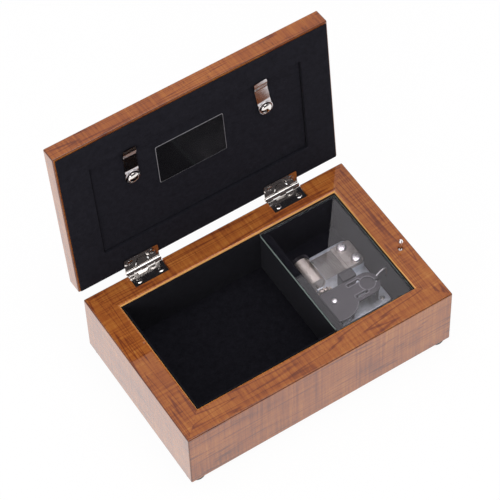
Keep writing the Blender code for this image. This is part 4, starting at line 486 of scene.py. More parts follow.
# %% Worked surface group
worked, given, filled = new_group(
    "worked_surface",
    {
        "Vector": ("Vector", None),
        "Lines": ("Vector", None),
        "Roughness": ("Float", 0.2),
        "Spread": ("Float", 0.1),
        "Color": ("Color", None),
        "Tarnish": ("Color", None),
    },
    {"Color": ("Color", None), "Roughness": ("Float", None), "Height": ("Float", None)},
)
calc = partial(sum_node, worked)
brushed = noise(worked, given["Vector"], 3200.0, 2.0, stretch=given["Lines"])
smudges = noise(worked, given["Vector"], 260.0, 4.0, 0.6)
mark = calc("MULTIPLY_ADD", brushed, 0.5, calc("MULTIPLY", smudges, 0.5))
spread = calc("MULTIPLY", given["Spread"], 4.0)
rough = calc("MULTIPLY_ADD", calc("SUBTRACT", mark, 0.5), spread, given["Roughness"])
feed(worked, filled["Roughness"], calc("MAXIMUM", rough, 0.02))
dull = ranged(worked, smudges, 0.45, 0.75)
feed(worked, filled["Color"], mix_colours(worked, dull, given["Color"], given["Tarnish"]))
feed(worked, filled["Height"], brushed)
print("group", worked.name)


# %% Metal finishes
def metal(name, colour, tarnish, roughness, spread, lines=(1.0, 1.0, 1.0), relief=0.000004):
    """A metal whose marks run as the lines vector says: a small number draws them out."""
    finish, tree, principled = new_finish(name, Metallic=1.0)
    inputs = {"Vector": place_in_object(tree), "Lines": lines, "Roughness": roughness,
              "Spread": spread, "Color": (*colour, 1.0), "Tarnish": (*tarnish, 1.0)}
    wear(tree, principled, use_group(tree, worked, inputs), relief)
    return finish


nickel = metal("nickel_plate", (0.68, 0.65, 0.63), (0.56, 0.53, 0.50), 0.10, 0.02)
spring_nickel = metal("spring_nickel", (0.44, 0.42, 0.43), (0.36, 0.34, 0.35), 0.14, 0.03)
plated = metal("bright_zinc_plate", (0.92, 0.90, 0.90), (0.76, 0.74, 0.73), 0.30, 0.08)
steel = metal("spring_steel", (0.36, 0.33, 0.30), (0.22, 0.19, 0.17), 0.34, 0.1, (0.06, 1.0, 1.0))
screw_steel = metal("screw_steel", (0.56, 0.54, 0.50), (0.35, 0.33, 0.3), 0.3, 0.08)
zinc = metal("cast_zinc", (0.62, 0.66, 0.70), (0.42, 0.45, 0.48), 0.36, 0.12, relief=0.00002)
brass = metal("pale_brass", (0.66, 0.60, 0.54), (0.56, 0.49, 0.42), 0.40, 0.03, (0.05, 1.0, 0.05),
              0.000001)
dress(steel, "pin_spring", "cylinder_arbor", "mainspring", "winding_arbor")
dress(zinc, "spring_housing", "drive_wheel")
dress(brass, "cylinder_pinion", "governor_gear")
print("seven metals")

# %% [markdown]
# ## Plastic, rubber, card and board
# Moulded plastic has a fine even grain from its mould, and never a pure black. The label is a
# glossy printed card, left bare here. Rubber feet pick up dust, and hardboard is pressed fibre.
# The rims of the movement's cover and the edge of its round end carry a pale painted highlight.

# %% Speckled surface group
speckled, given, filled = new_group(
    "speckled_surface",
    {
        "Vector": ("Vector", None),
        "Grains": ("Float", 1200.0),
        "Color": ("Color", None),
        "Fleck": ("Color", None),
        "Low": ("Float", 0.4),
        "High": ("Float", 0.6),
    },
    {"Color": ("Color", None), "Roughness": ("Float", None), "Height": ("Float", None)},
)
grains = noise(speckled, given["Vector"], given["Grains"], 3.0, 0.6)
cloud = noise(speckled, given["Vector"], 90.0, 3.0, 0.6)
share = sum_node(speckled, "MULTIPLY_ADD", grains, 0.6, sum_node(speckled, "MULTIPLY", cloud, 0.4))
flecked = ranged(speckled, share, 0.35, 0.65)
feed(speckled, filled["Color"], mix_colours(speckled, flecked, given["Color"], given["Fleck"]))
feed(speckled, filled["Roughness"], ranged(speckled, cloud, 0.0, 1.0, given["Low"], given["High"]))
feed(speckled, filled["Height"], grains)
print("group", speckled.name)


# %% Speckled finishes
def speckle(name, colour, fleck, low, high, grains, relief):
    """A plain material with its grain."""
    finish, tree, principled = new_finish(name)
    inputs = {"Vector": place_in_object(tree), "Grains": grains, "Color": (*colour, 1.0),
              "Fleck": (*fleck, 1.0), "Low": low, "High": high}
    wear(tree, principled, use_group(tree, speckled, inputs), relief)
    return finish


plastic = speckle("black_plastic", (0.024, 0.022, 0.025), (0.036, 0.033, 0.037), 0.34, 0.48, 1800, 1e-5)
cover_plastic = speckle(
    "cover_plastic", (0.026, 0.023, 0.028), (0.038, 0.034, 0.040), 0.34, 0.48, 1800, 1e-5)
gloss = speckle("label_gloss", (0.006, 0.006, 0.007), (0.009, 0.009, 0.010), 0.05, 0.12, 900, 2e-6)
card_core = speckle("card_core", (0.20, 0.20, 0.215), (0.26, 0.26, 0.275), 0.5, 0.7, 900, 2e-6)
ground_glass = speckle("ground_glass", (0.24, 0.32, 0.29), (0.34, 0.43, 0.40), 0.45, 0.6, 1500, 4e-6)
rubber = speckle("foot_rubber", (0.030, 0.027, 0.025), (0.060, 0.054, 0.048), 0.6, 0.85, 900, 5e-5)
board = speckle("hardboard", (0.16, 0.095, 0.050), (0.27, 0.175, 0.10), 0.55, 0.8, 700, 6e-5)
picture = speckle("picture_print", (0.45, 0.42, 0.36), (0.55, 0.52, 0.46), 0.3, 0.45, 60, 2e-6)
dress(plastic, "governor_fan")
dress(board, "bottom_board")
print("plastic, card, rubber and board")

# %% Painted highlight on the rims of the cover
BARREL = (37.6, -26.2, 0)
# Painted highlight: a pale colour on the raised rims and on the outer edge of the round end.
RIM_HIGHLIGHT_COLOUR = (0.16, 0.15, 0.165, 1.0)
RIM_HEIGHT, PLATE_HEIGHT = 0.0288, 0.0284
ROUND_END_EDGE, EDGE_LINE = 0.0142, 0.00025
tree = cover_plastic.node_tree
calc = partial(sum_node, tree)
base_colour = tree.nodes["Principled BSDF"].inputs["Base Color"]
plain_colour = base_colour.links[0].from_socket
place = add_node(tree, "SeparateXYZ", {0: place_in_object(tree, location=-mm(*BARREL))}).outputs
flat = add_node(tree, "CombineXYZ", {0: place[0], 1: place[1]}).outputs[0]
reach = add_node(tree, "VectorMath", {0: flat}, operation="LENGTH").outputs["Value"]
round_end = calc("LESS_THAN", place[1], -0.0078)
outer = calc("MULTIPLY", calc("COMPARE", reach, ROUND_END_EDGE, EDGE_LINE), round_end)
outer = calc("MULTIPLY", outer, calc("GREATER_THAN", place[2], PLATE_HEIGHT))
highlighted = calc("MAXIMUM", calc("GREATER_THAN", place[2], RIM_HEIGHT), outer)
feed(tree, base_colour, mix_colours(tree, highlighted, plain_colour, RIM_HIGHLIGHT_COLOUR))
print("rims rubbed above", RIM_HEIGHT, "m")

# %% [markdown]
# ## Modelling tools
# Every new piece is modelled the way it would be by hand: a primitive is added at its size and
# place, its faces are picked by where they are, and the edit mode operators shape it. An operator
# acts on all that is selected, so each helper starts by deselecting everything. The tools take
# millimetres, as on a drawing, apart from the two that work from a solid's box.


# %% Selecting and editing
def activate(piece):
    """Makes one piece the only selected one."""
    if bpy.context.object and bpy.context.object.mode != "OBJECT":
        bpy.ops.object.mode_set(mode="OBJECT")
    bpy.ops.object.select_all(action="DESELECT")
    piece.select_set(True)
    bpy.context.view_layer.objects.active = piece


def edit(piece, mode="FACE"):
    """Opens a piece in edit mode with nothing selected."""
    activate(piece)
    bpy.ops.object.mode_set(mode="EDIT")
    bpy.ops.mesh.select_mode(type=mode)
    bpy.ops.mesh.select_all(action="DESELECT")


def leave_edit():
    bpy.ops.object.mode_set(mode="OBJECT")


def choose(piece, kind, test):
    """Selects the faces, edges or verts of the edited piece that pass a test, and no others."""
    bpy.ops.mesh.select_all(action="DESELECT")
    mesh = bmesh.from_edit_mesh(piece.data)
    found = [item for item in getattr(mesh, kind) if test(item)]
    for item in found:
        item.select_set(True)
    mesh.select_flush_mode()
    bmesh.update_edit_mesh(piece.data)
    return len(found)


def shift(x=0.0, y=0.0, z=0.0):
    """Moves what is selected."""
    bpy.ops.transform.translate(value=mm(x, y, z))


def extrude(x=0.0, y=0.0, z=0.0):
    """Extrudes what is selected."""
    bpy.ops.mesh.extrude_region_move(TRANSFORM_OT_translate={"value": mm(x, y, z)})


def stretch(x, y, z, centre):
    """Scales what is selected from a centre."""
    bpy.ops.transform.resize(value=(x, y, z), center_override=mm(*centre))


def weld():
    """Merges the doubled points of the edited piece."""
    bpy.ops.mesh.select_all(action="SELECT")
    bpy.ops.mesh.remove_doubles(threshold=0.002 * MM)


def face_outward():
    """Turns the faces of the edited piece outward and leaves edit mode."""
    bpy.ops.mesh.select_all(action="SELECT")
    bpy.ops.mesh.normals_make_consistent(inside=False)
    leave_edit()


def at_height(z):
    """A test for faces whose middle is at a height."""
    return lambda face: abs(face.calc_center_median().z - z * MM) < 0.01 * MM


def middle_of(edge):
    """The middle of an edge in millimetres."""
    return (edge.verts[0].co + edge.verts[1].co) / 2 / MM


def edges_along(axis, where=lambda middle: True):
    """A test for edges parallel to axis 0, 1 or 2 whose middle passes a test of its own."""
    def test(edge):
        direction = (edge.verts[0].co - edge.verts[1].co).normalized()
        return abs(direction[axis]) > 0.9 and where(middle_of(edge))
    return test


def bevel_edges(piece, test, offset, segments):
    """Bevels the edges that pass a test. Returns how many they are."""
    edit(piece, "EDGE")
    count = choose(piece, "edges", test)
    bpy.ops.mesh.bevel(offset=offset * MM, segments=segments, affect="EDGES")
    leave_edit()
    return count


print("editing tools ready")


# %% Starting shapes
def settle(piece):
    """Puts a piece's place into its mesh, so that its object sits at the origin."""
    activate(piece)
    bpy.ops.object.transform_apply(location=True, rotation=True, scale=True)
    return piece


def fresh(name, add, **settings):
    """What an operator adds, by name."""
    bpy.ops.object.select_all(action="DESELECT")
    add(**settings)
    piece = bpy.context.object
    piece.name = piece.data.name = name
    return piece


def box_between(name, low, high):
    place = {"location": (low + high) / 2, "scale": high - low}
    return settle(fresh(name, bpy.ops.mesh.primitive_cube_add, size=1, **place))


def block(name, low, high):
    """A box between two corners in millimetres."""
    return box_between(name, mm(*low), mm(*high))


def rod(name, start, end, radius, sides=48):
    """A cylinder from one point to another."""
    start, end = mm(*start), mm(*end)
    size = {"vertices": sides, "radius": radius * MM, "depth": (end - start).length}
    piece = fresh(name, bpy.ops.mesh.primitive_cylinder_add, **size)
    piece.rotation_euler = (end - start).to_track_quat("Z", "Y").to_euler()
    piece.location = (start + end) / 2
    return settle(piece)


def path_of_points(name, points):
    """A chain of edges in edit mode: a plane merged to a point, extruded from point to point."""
    piece = fresh(name, bpy.ops.mesh.primitive_plane_add, size=MM)
    edit(piece, "VERT")
    bpy.ops.mesh.select_all(action="SELECT")
    bpy.ops.mesh.merge(type="CENTER")
    bpy.ops.mesh.select_all(action="SELECT")
    shift(*points[0])
    for before, after in zip(points, points[1:]):
        extrude(*(end - start for start, end in zip(before, after)))
    return piece


def turned_piece(name, profile, sides=48):
    """A profile of (radius, height) points, spun round the Z axis as on a lathe."""
    piece = path_of_points(name, [(radius, 0.0, height) for radius, height in profile])
    bpy.ops.mesh.select_all(action="SELECT")
    bpy.ops.mesh.spin(steps=sides, angle=math.radians(360), center=(0, 0, 0), axis=(0, 0, 1))
    weld()
    face_outward()
    return piece


def extruded_outline(name, outline, **step):
    """A closed chain of points, filled and extruded."""
    piece = path_of_points(name, outline)
    bpy.ops.mesh.select_all(action="SELECT")
    bpy.ops.mesh.edge_face_add()
    extrude(**step)
    face_outward()
    return piece


print("starting shapes ready")


# %% Finishing shapes
def apply_all(piece):
    """Applies a piece's modifiers in their order."""
    activate(piece)
    for modifier in list(piece.modifiers):
        bpy.ops.object.modifier_apply(modifier=modifier.name)
    return piece


def remove(*pieces):
    """Deletes pieces that have served their purpose."""
    for piece in pieces:
        bpy.data.objects.remove(piece, do_unlink=True)


def combine(piece, other, operation="DIFFERENCE"):
    """Cuts another shape out of a piece, or joins it on."""
    modifier = piece.modifiers.new("combine", "BOOLEAN")
    modifier.operation = operation
    modifier.object = other
    modifier.solver = "EXACT"
    apply_all(piece)
    remove(other)
    return piece


def round_edges(piece, width, steps=3, angle=40.0):
    """Rounds every edge that is sharper than an angle."""
    modifier = piece.modifiers.new("round", "BEVEL")
    modifier.width = width * MM
    modifier.segments = steps
    modifier.limit_method = "ANGLE"
    modifier.angle_limit = math.radians(angle)
    modifier.use_clamp_overlap = True
    return apply_all(piece)


def even_shading(piece, angle=38.0):
    """Smooth shading in which flat faces stay flat and rounded edges stay round."""
    activate(piece)
    bpy.ops.object.shade_smooth_by_angle(angle=math.radians(angle))
    modifier = piece.modifiers.new("even", "WEIGHTED_NORMAL")
    modifier.keep_sharp = True
    return apply_all(piece)


def join_pieces(first_piece, others):
    """Makes several shapes one piece without merging them."""
    activate(first_piece)
    for other in others:
        other.select_set(True)
    bpy.ops.object.join()


def put(piece, place):
    """Moves a finished piece by a matrix, and keeps its object at the origin."""
    piece.matrix_world = place
    return settle(piece)


def copy_of(piece, name, place):
    """A copy with its own mesh, moved by a matrix."""
    twin = piece.copy()
    twin.data = piece.data.copy()
    twin.name = twin.data.name = name
    bpy.context.scene.collection.objects.link(twin)
    return put(twin, place)


def mount(piece, finish, body, slot, *solids):
    """Gives a piece its finish and the body that it moves with, and hides the solids that it stands for.
    """
    piece.data.materials.clear()
    piece.data.materials.append(finish)
    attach(piece, body)
    if solids:
        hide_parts(*solids)
    print(piece.name, len(piece.data.polygons), "faces")


print("finishing tools ready")

# %% [markdown]
# ## Places
# The lid is modelled closed and flat, where its sides are square to the axes, and is then turned
# about the hinge line to its open angle. The two clips have a place of their own on its panel.


# %% Places
def moved(x, y, z):
    """A matrix that moves by millimetres."""
    return Matrix.Translation(mm(x, y, z))


def turned_by(degrees, axis="Z"):
    """A matrix that turns about an axis through the origin."""
    return Matrix.Rotation(math.radians(degrees), 4, axis)


hinge_place = Matrix.Translation(HINGE_LINE)
lid_place = hinge_place @ Matrix.Rotation(-LID_LEAN, 4, "X")
clip_places = {}
for side, x, degrees in (("left", -44.5, 0.0), ("right", 44.5, -6.0)):
    clip_places[side] = lid_place @ moved(x, -74.25, 3.0) @ turned_by(degrees) @ turned_by(180, "X")
print("clip pivots", [tuple(round(v, 4) for v in m.translation) for m in clip_places.values()])

# %% [markdown]
# ## The wooden case
# Four rails meet at mitred corners round an opening. One way is to model a rail and repeat it, but
# the lacquer hides the joints, so a single block is quicker: its top and bottom are inset by the
# rail's width and the two inner faces are bridged, which makes the opening. The inner lip is a
# large bevel, a bullnose, and the outer edges have a small one.


# %% Case body
def solid_box(name):
    """The corners of a solid's box in millimetres."""
    return [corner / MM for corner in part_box(name)]


def hollow_frame(name, low, high, rail):
    """A block with a rectangular opening from top to bottom, in metres like a solid's box."""
    piece = box_between(name, low, high)
    edit(piece)
    for z in (high.z, low.z):
        choose(piece, "faces", at_height(z / MM))
        bpy.ops.mesh.inset(thickness=rail)
    centre = (low + high) / 2
    choose(piece, "faces", lambda f: len(f.verts) == 4 and abs(f.normal.z) > 0.9
           and (f.calc_center_median() - centre).xy.length < MM)
    bpy.ops.mesh.bridge_edge_loops()
    leave_edit()
    return piece


RAIL = 15.8
case = hollow_frame("case_body", *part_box("carcass"), RAIL * MM)
case_low, case_high = solid_box("carcass")
middle = (case_low + case_high) / 2
inner = (case_high - case_low) / 2 - Vector((RAIL, RAIL, 0))


def on_lip(edge):
    """The four top edges of the opening."""
    place = middle_of(edge) - middle
    inside = abs(place.x) < inner.x + 0.1 and abs(place.y) < inner.y + 0.1
    return inside and abs(middle_of(edge).z - case_high.z) < 0.1


def on_outside(edge):
    """The twelve outer edges of the block."""
    ends = [vert.co / MM - middle for vert in edge.verts]
    beyond = all(abs(end.x) > inner.x + 1 or abs(end.y) > inner.y + 1 for end in ends)
    return beyond and edge.calc_face_angle() > 1.0


print("lip edges", bevel_edges(case, on_lip, 1.5, 8))
print("outer edges", bevel_edges(case, on_outside, 0.8, 5))

# %% Rabbet, mortises and bores
HINGE_X, SCREW_STEP = 48.3, 7.4
STOP_AT = (83.25, -27.4)
reach = inner + Vector((4, 4, 0))
rabbet_low, rabbet_high = middle - reach, middle + reach
rabbet_low.z, rabbet_high.z = 1, 13.3
combine(case, block("rabbet_shape", rabbet_low, rabbet_high))
for x in (-HINGE_X, HINGE_X):
    combine(case, block("mortise_shape", (x - 11.8, 34.7, 46), (x + 11.8, 50, 52)))
    for dx in (-SCREW_STEP, SCREW_STEP):
        combine(case, rod("pilot_shape", (x + dx, 38.8, 40), (x + dx, 38.8, 47), 1.05, 16))
combine(case, rod("bore_shape", (*STOP_AT, 14.5), (*STOP_AT, 50), 1.7, 40))
combine(case, block("wire_slot_shape", (70.6, -28.15, 27.5), (83.25, -26.65, 36.75)))
even_shading(case)
mount(case, case_wood, "base", "wood", "carcass")

# %% [markdown]
# ## The lid frame
# The lid is a frame of the same rails. Its window is stepped: wide from inside, where the glass,
# the picture and the panel lie on one another, and narrower at the face, where a chamfered lip
# holds the glass.

# %% Lid frame
lid_frame = block("lid_rails", (-90, -116.45, 2.6), (90, -2.45, 13.3))
round_edges(lid_frame, 0.8, 5)
combine(lid_frame, block("wide_shape", (-71.1, -97.55, 0), (71.1, -23.35, 10.8)))
sight = block("sight_shape", (-66, -92.45, 5), (66, -28.45, 20))
edit(sight)
choose(sight, "faces", at_height(20))
shift(z=-8.2)
extrude(z=1.5)
stretch(67.5 / 66, 33.5 / 32, 1, (0, -60.45, 13.3))
extrude(z=3)
leave_edit()
combine(lid_frame, sight)
for x in (-HINGE_X, HINGE_X):
    for dx in (-SCREW_STEP, SCREW_STEP):
        combine(lid_frame, rod("pilot_shape", (x + dx, -7.5, 0), (x + dx, -7.5, 7), 1.05, 16))
even_shading(lid_frame)
put(lid_frame, lid_place)
mount(lid_frame, lid_wood, "lid", "wood", "lid_frame")

# %% [markdown]
# ## Linings
# A lining is stiff card covered with velvet and folded at its edges, so no edge is sharp. Each tray
# starts as a block whose top is inset by the card's thickness and extruded down. All its edges are
# then rounded, and the inner corners too, where the pile fills them. Over the glass, a fold of the
# lining runs on up to the lip.


# %% Trays
def tray(name, low, high):
    """An open tray."""
    piece = block(name, low, high)
    edit(piece)
    choose(piece, "faces", at_height(high[2]))
    bpy.ops.mesh.inset(thickness=CARD * MM)
    extrude(z=low[2] + CARD - high[2])
    leave_edit()
    return piece


def soften(piece, width):
    """Rounds the edges of card covered with velvet."""
    round_edges(piece, width)
    return even_shading(piece, 50)


CARD = 1.0
FOLD_TOP = 47.5
low, high = solid_box("jewelry_lining")
high.z = FOLD_TOP
jewelry_tray = tray("jewelry_tray", low, high)
combine(jewelry_tray, block("seat_shape", (20.55, low.y - 1, 43.7), (25, high.y + 1, 50)))
mount(soften(jewelry_tray, 0.42), shaded_well_velvet, "base", "velvet", "jewelry_lining")

movement_tray = tray("movement_tray", *solid_box("movement_lining"))
combine(movement_tray, block("slot_shape", (71, -28.15, 27.5), (76, -26.65, 36.75)))
combine(movement_tray, rod("hole_shape", (37.6, -26.2, 10), (37.6, -26.2, 15), 3.4))
fold = block("fold_over_glass", (21.3, -54.85, 46.05), (74.15, 28.45, FOLD_TOP))
combine(fold, block("fold_inside", (10, -54.62, 45), (73.92, 28.22, 50)))
join_pieces(movement_tray, [fold])
mount(soften(movement_tray, 0.42), shaded_well_velvet, "base", "velvet", "movement_lining")

pile = Vector((0.28, 0.25, 0))
low, high = solid_box("divider")
divider_wall = block("divider_wall", low - pile, high + pile)
mount(soften(divider_wall, 0.3), shaded_well_velvet, "base", "velvet", "divider")

# %% Lid lining
facing = block("lid_facing", (-88.8, -115.25, 1.5), (88.8, -3.65, 2.3))
combine(facing, block("collar_shape", (-70.8, -97.25, 1.6), (70.8, -23.65, 7.2)), "UNION")
combine(facing, block("opening_shape", (-70, -96.45, 0), (70, -24.45, 9)))
put(soften(facing, 0.36), lid_place)
mount(facing, lid_velvet, "lid", "velvet", "lid_lining")

# %% [markdown]
# The panel behind the picture is card covered with the same velvet, and lies a little deeper than
# the face. The black card on it is thin, glossy and plain, with rounded corners and a pale cut edge.


# %% Sheets in the lid
def sheet_piece(name, low, high, corner, edge_round):
    """A flat rectangle with rounded corners and softened edges, lying in the closed lid."""
    piece = block(name, low, high)
    bevel_edges(piece, edges_along(2), corner, 5)
    round_edges(piece, edge_round, 2, 60)
    even_shading(piece, 50)
    return put(piece, lid_place)


panel = sheet_piece("back_panel", (-69.5, -95.95, 3.0), (69.5, -24.95, 7.4), 0.4, 0.4)
mount(panel, lid_velvet, "lid", "velvet", "backing_panel")
label = sheet_piece("plain_card", (-27.7, -86.3, 2.3), (16.7, -57.4, 2.5), 0.9, 0.08)
mount(label, gloss, "lid", "gloss_card", "label_card")
core = sheet_piece("card_cut_edge", (-28.0, -86.6, 2.45), (17.0, -57.1, 2.7), 1.0, 0.08)
mount(core, card_core, "lid", "gloss_card")

# %% [markdown]
# ## Hinges
# Each hinge has two pressed leaves whose ends are rolled round a pin. A leaf is a thin block with
# rounded corners. Its rolls are rods joined on by a union and bored for the pin, and the
# countersunk holes are cones cut out. One leaf is modelled with its face up, and the others are
# copies, turned into their places. The lid's leaf has a tongue punched out of it, which stops the
# lid when it stands open.


# %% Leaf
def wedge(name, root_half, tip_half, reach, low, high, lean):
    """A plate that narrows away from the rolls, leaning up at its root."""
    root_y = -2.3
    plate = block(name, (-root_half, root_y - reach, low), (root_half, root_y, high))
    halfway = (root_y - reach / 2) * MM
    fall = reach * math.tan(math.radians(lean)) / 2
    edit(plate, "VERT")
    choose(plate, "verts", lambda v: v.co.y < halfway)
    stretch(tip_half / root_half, 1, 1, (0, 0, 0))
    shift(z=-fall)
    choose(plate, "verts", lambda v: v.co.y > halfway)
    shift(z=fall)
    leave_edit()
    return plate


def hinge_leaf(name, knuckles, tongue):
    """A leaf that runs from the hinge line towards -Y, with its face up."""
    half_width, last = 11.5, 4
    knuckle, play = 2 * half_width / (last + 1), 0.12
    sink_profile = [(0, -2), (1.1, -2), (1.1, -1.2), (2.1, -0.4), (2.1, 1), (0, 1)]
    leaf = block(name, (-half_width, -11.1, -1.2), (half_width, -2.0, -0.4))
    bevel_edges(leaf, edges_along(2, lambda m: m.y < -11), 1.0, 5)
    for number in knuckles:
        start = knuckle * number - half_width + (play if number else 0.0)
        end = knuckle * (number + 1) - half_width - (play if number < last else 0.0)
        combine(leaf, block("tab_shape", (start, -2.6, -1.17), (end, -1.0, -0.43)), "UNION")
        combine(leaf, rod("roll_shape", (start, 0, 0), (end, 0, 0), 1.7, 40), "UNION")
    combine(leaf, rod("pin_bore", (-13, 0, 0), (13, 0, 0), 0.8, 24))
    for x in (-SCREW_STEP, SCREW_STEP):
        combine(leaf, put(turned_piece("sink_shape", sink_profile, 32), moved(x, -7.5, 0)))
    if tongue:
        combine(leaf, wedge("tongue_window", 5.1, 3.0, 5.9, -3.0, 3.0, 0.0))
        combine(leaf, wedge("tongue_shape", 4.5, 2.4, 5.5, -1.0, -0.28, 4.0), "UNION")
    round_edges(leaf, 0.09, 2, 55)
    return even_shading(leaf, 40)


base_leaf = hinge_leaf("leaf_on_case", (0, 2, 4), False)
lid_leaf = hinge_leaf("leaf_on_lid", (1, 3), True)
print("leaves", len(base_leaf.data.polygons), "and", len(lid_leaf.data.polygons), "faces")


# %% Screws
def cross_recess(piece, top, reach, depth):
    """The cross that a screwdriver fits, cut into a head that looks up."""
    narrow = 0.17 * reach
    for x, y in ((reach, narrow), (narrow, reach)):
        arm = block("arm_shape", (-x, -y, top - depth), (x, y, top + 2 * depth))
        edit(arm)
        choose(arm, "faces", at_height(top - depth))
        stretch(0.55, 0.55, 1, (0, 0, top - depth))
        leave_edit()
        combine(piece, arm)


def thread(radius, top, bottom, pitch, depth):
    """Profile points for the ridges of a screw's thread, from the bottom up."""
    count = max(1, int((top - bottom) / pitch))
    points = []
    for number in range(count):
        z = bottom + number * pitch
        points += [(radius - depth, z), (radius, z + pitch / 2)]
    return points + [(radius - depth, bottom + count * pitch)]


def countersunk_screw(name):
    """A small wood screw with its face at z = 0."""
    profile = [(0.0, -6.4)] + thread(0.9, -1.0, -6.0, 0.5, 0.22)
    profile += [(0.95, -0.8), (1.86, -0.02), (1.6, 0.09), (0.9, 0.18), (0.0, 0.2)]
    screw = turned_piece(name, profile, 28)
    cross_recess(screw, 0.2, 1.05, 0.42)
    return even_shading(screw, 40)


small_screw = countersunk_screw("hinge_wood_screw")
print("wood screw", len(small_screw.data.polygons), "faces")

# %% Hinges in place
PIN_HALF = 11.65
pin_end = [(0.0, 0.5), (0.8, 0.42), (1.15, 0.15), (1.15, 0.0), (0.7, 0.0)]
pin_profile = [(r, -PIN_HALF - z) for r, z in pin_end]
pin_profile += [(r, PIN_HALF + z) for r, z in reversed(pin_end)]
for side, way in (("left", -1), ("right", 1)):
    x = way * HINGE_X
    on_case = hinge_place @ moved(x, 0, 0)
    on_lid = lid_place @ moved(x, 0, 0) @ turned_by(180, "Y")
    halves = (("case", "base", on_case, base_leaf, -way), ("lid", "lid", on_lid, lid_leaf, way))
    for half, body, place, leaf, _ in halves:
        twin = copy_of(leaf, f"{side}_leaf_on_{half}", place)
        mount(twin, nickel, body, "nickel", f"hinge_{side}_{body}_leaf")
    for end, dx, degrees in (("outer", -SCREW_STEP, 17), ("inner", SCREW_STEP, 52)):
        for half, body, place, _, sign in halves:
            place = place @ moved(sign * dx, -7.5, -0.4) @ turned_by(degrees + x)
            screw = copy_of(small_screw, f"{side}_{end}_{half}_screw", place)
            mount(screw, nickel, body, "nickel", f"hinge_screw_{side}_{body}_{end}")
    pin = turned_piece(f"{side}_hinge_pin", pin_profile, 32)
    put(pin, on_case @ turned_by(90, "Y"))
    even_shading(pin, 40)
    mount(pin, nickel, "base", "nickel", f"hinge_{side}_pin")
remove(base_leaf, lid_leaf, small_screw)

# %% [markdown]
# ## Swing clips
# A clip is a strip of spring steel, bent up at its tip so that it laps the frame, with a round eye
# that turns under a domed screw. The strip is its own side outline, a chain of points that is filled
# and extruded sideways, with bevelled bends. The eye is turned like a washer and joined on.


# %% Clip
def swing_clip(name):
    """A clip in its own frame: the panel is at z = 0 and the arm runs along +Y."""
    thick, half_width = 0.6, 4.3
    top = [(2.3, 1.25), (4.4, 1.2), (5.6, 0.9), (16.4, 0.9), (20.7, 2.4), (23.6, 2.4)]
    outline = top + [(y, z - thick) for y, z in reversed(top)]
    strip = extruded_outline(name, [(-half_width, y, z) for y, z in outline], x=2 * half_width)
    bevel_edges(strip, edges_along(0, lambda m: 4 < m.y < 22), 0.5, 3)
    bevel_edges(strip, edges_along(2, lambda m: m.y > 23.5), 1.0, 4)
    eye_profile = [(1.6, 0.3), (4.6, 0.3), (4.9, 0.6), (4.9, 1.2), (4.75, 1.48), (4.45, 1.6),
                   (4.2, 1.56), (4.0, 1.3), (3.6, 1.28), (1.6, 1.28), (1.6, 0.3)]
    combine(strip, turned_piece("eye_shape", eye_profile, 64), "UNION")
    round_edges(strip, 0.12, 2, 60)
    return even_shading(strip, 35)


def domed_screw(name, head, rise, seat, shank, length):
    """A screw whose head is a low dome with a cross in it."""
    profile = [(0.0, -length)] + thread(shank, seat - 0.2, shank - length, 0.6, 0.25)
    profile += [(shank, seat), (head, seat)]
    for number in range(8):
        turn = math.radians(4 + 86 * number / 8)
        profile.append((head * math.cos(turn), seat + rise * (0.12 + 0.88 * math.sin(turn))))
    screw = turned_piece(name, profile + [(0.0, seat + rise)])
    cross_recess(screw, seat + rise, 0.5 * head, 0.55 * rise)
    return even_shading(screw, 40)


clip = swing_clip("swing_clip")
clip_screw = domed_screw("clip_dome_screw", 3.5, 1.45, 1.9, 1.25, 3.4)
for side, degrees in (("left", 20), ("right", 65)):
    place = clip_places[side]
    twin = copy_of(clip, f"{side}_swing_clip", place)
    mount(twin, spring_nickel, f"{side}_clip", "nickel", f"clip_{side}")
    screw = copy_of(clip_screw, f"{side}_clip_screw", place @ turned_by(degrees))
    body = body_of(nodes[f"clip_screw_{side}"])[0]
    mount(screw, nickel, body, "nickel", f"clip_screw_{side}")
remove(clip, clip_screw)

# %% [markdown]
# ## Stop pin
# The lid presses this pin down as it closes. The pin is turned in one piece with its ball head, and
# carries a bent wire that reaches into the movement and holds the fan. The wire is a chain of
# points turned into a curve with a round section, and back into a mesh.


# %% Pin and wire
def wire_piece(name, points, radius, rounded):
    """A round wire through points, with soft bends."""
    piece = path_of_points(name, points)
    inner_points = [mm(*point) for point in points[1:-1]]
    choose(piece, "verts", lambda v: any((v.co - p).length < 0.01 * MM for p in inner_points))
    bpy.ops.mesh.bevel(offset=1.2 * MM, segments=rounded, affect="VERTICES")
    leave_edit()
    activate(piece)
    bpy.ops.object.convert(target="CURVE")
    curve = bpy.context.object.data
    curve.bevel_depth = radius * MM
    curve.bevel_resolution = 4
    curve.use_fill_caps = True
    bpy.ops.object.convert(target="MESH")
    piece = bpy.context.object
    edit(piece)
    weld()
    face_outward()
    return even_shading(piece, 50)


BALL, BALL_AT, SHOULDER_AT, FOOT_AT, NECK = 1.35, 55.2, 47.5, 33.8, 0.55
profile = [(0.0, FOOT_AT), (1.0, FOOT_AT), (1.2, FOOT_AT + 0.2), (1.2, SHOULDER_AT - 0.15),
           (1.05, SHOULDER_AT), (NECK, SHOULDER_AT)]
ball_turn = math.pi - math.asin(NECK / BALL)
for number in range(14):
    turn = ball_turn * (1 - number / 14)
    profile.append((BALL * math.sin(turn), BALL_AT + BALL * math.cos(turn)))
pin = turned_piece("ball_head_pin", profile + [(0.0, BALL_AT + BALL)], 40)
put(pin, moved(*STOP_AT, 0))
even_shading(pin, 30)
mount(pin, plated, "stop", "nickel", "stop_pin")
route = [(84.45, -27.4, 36.0), (70.6, -27.3, 36.0), (69.0, -27.45, 35.6), (66.24, -27.63, 33.6)]
mount(wire_piece("stop_rod", route, 0.45, 3), plated, "stop", "steel", "stop_wire")

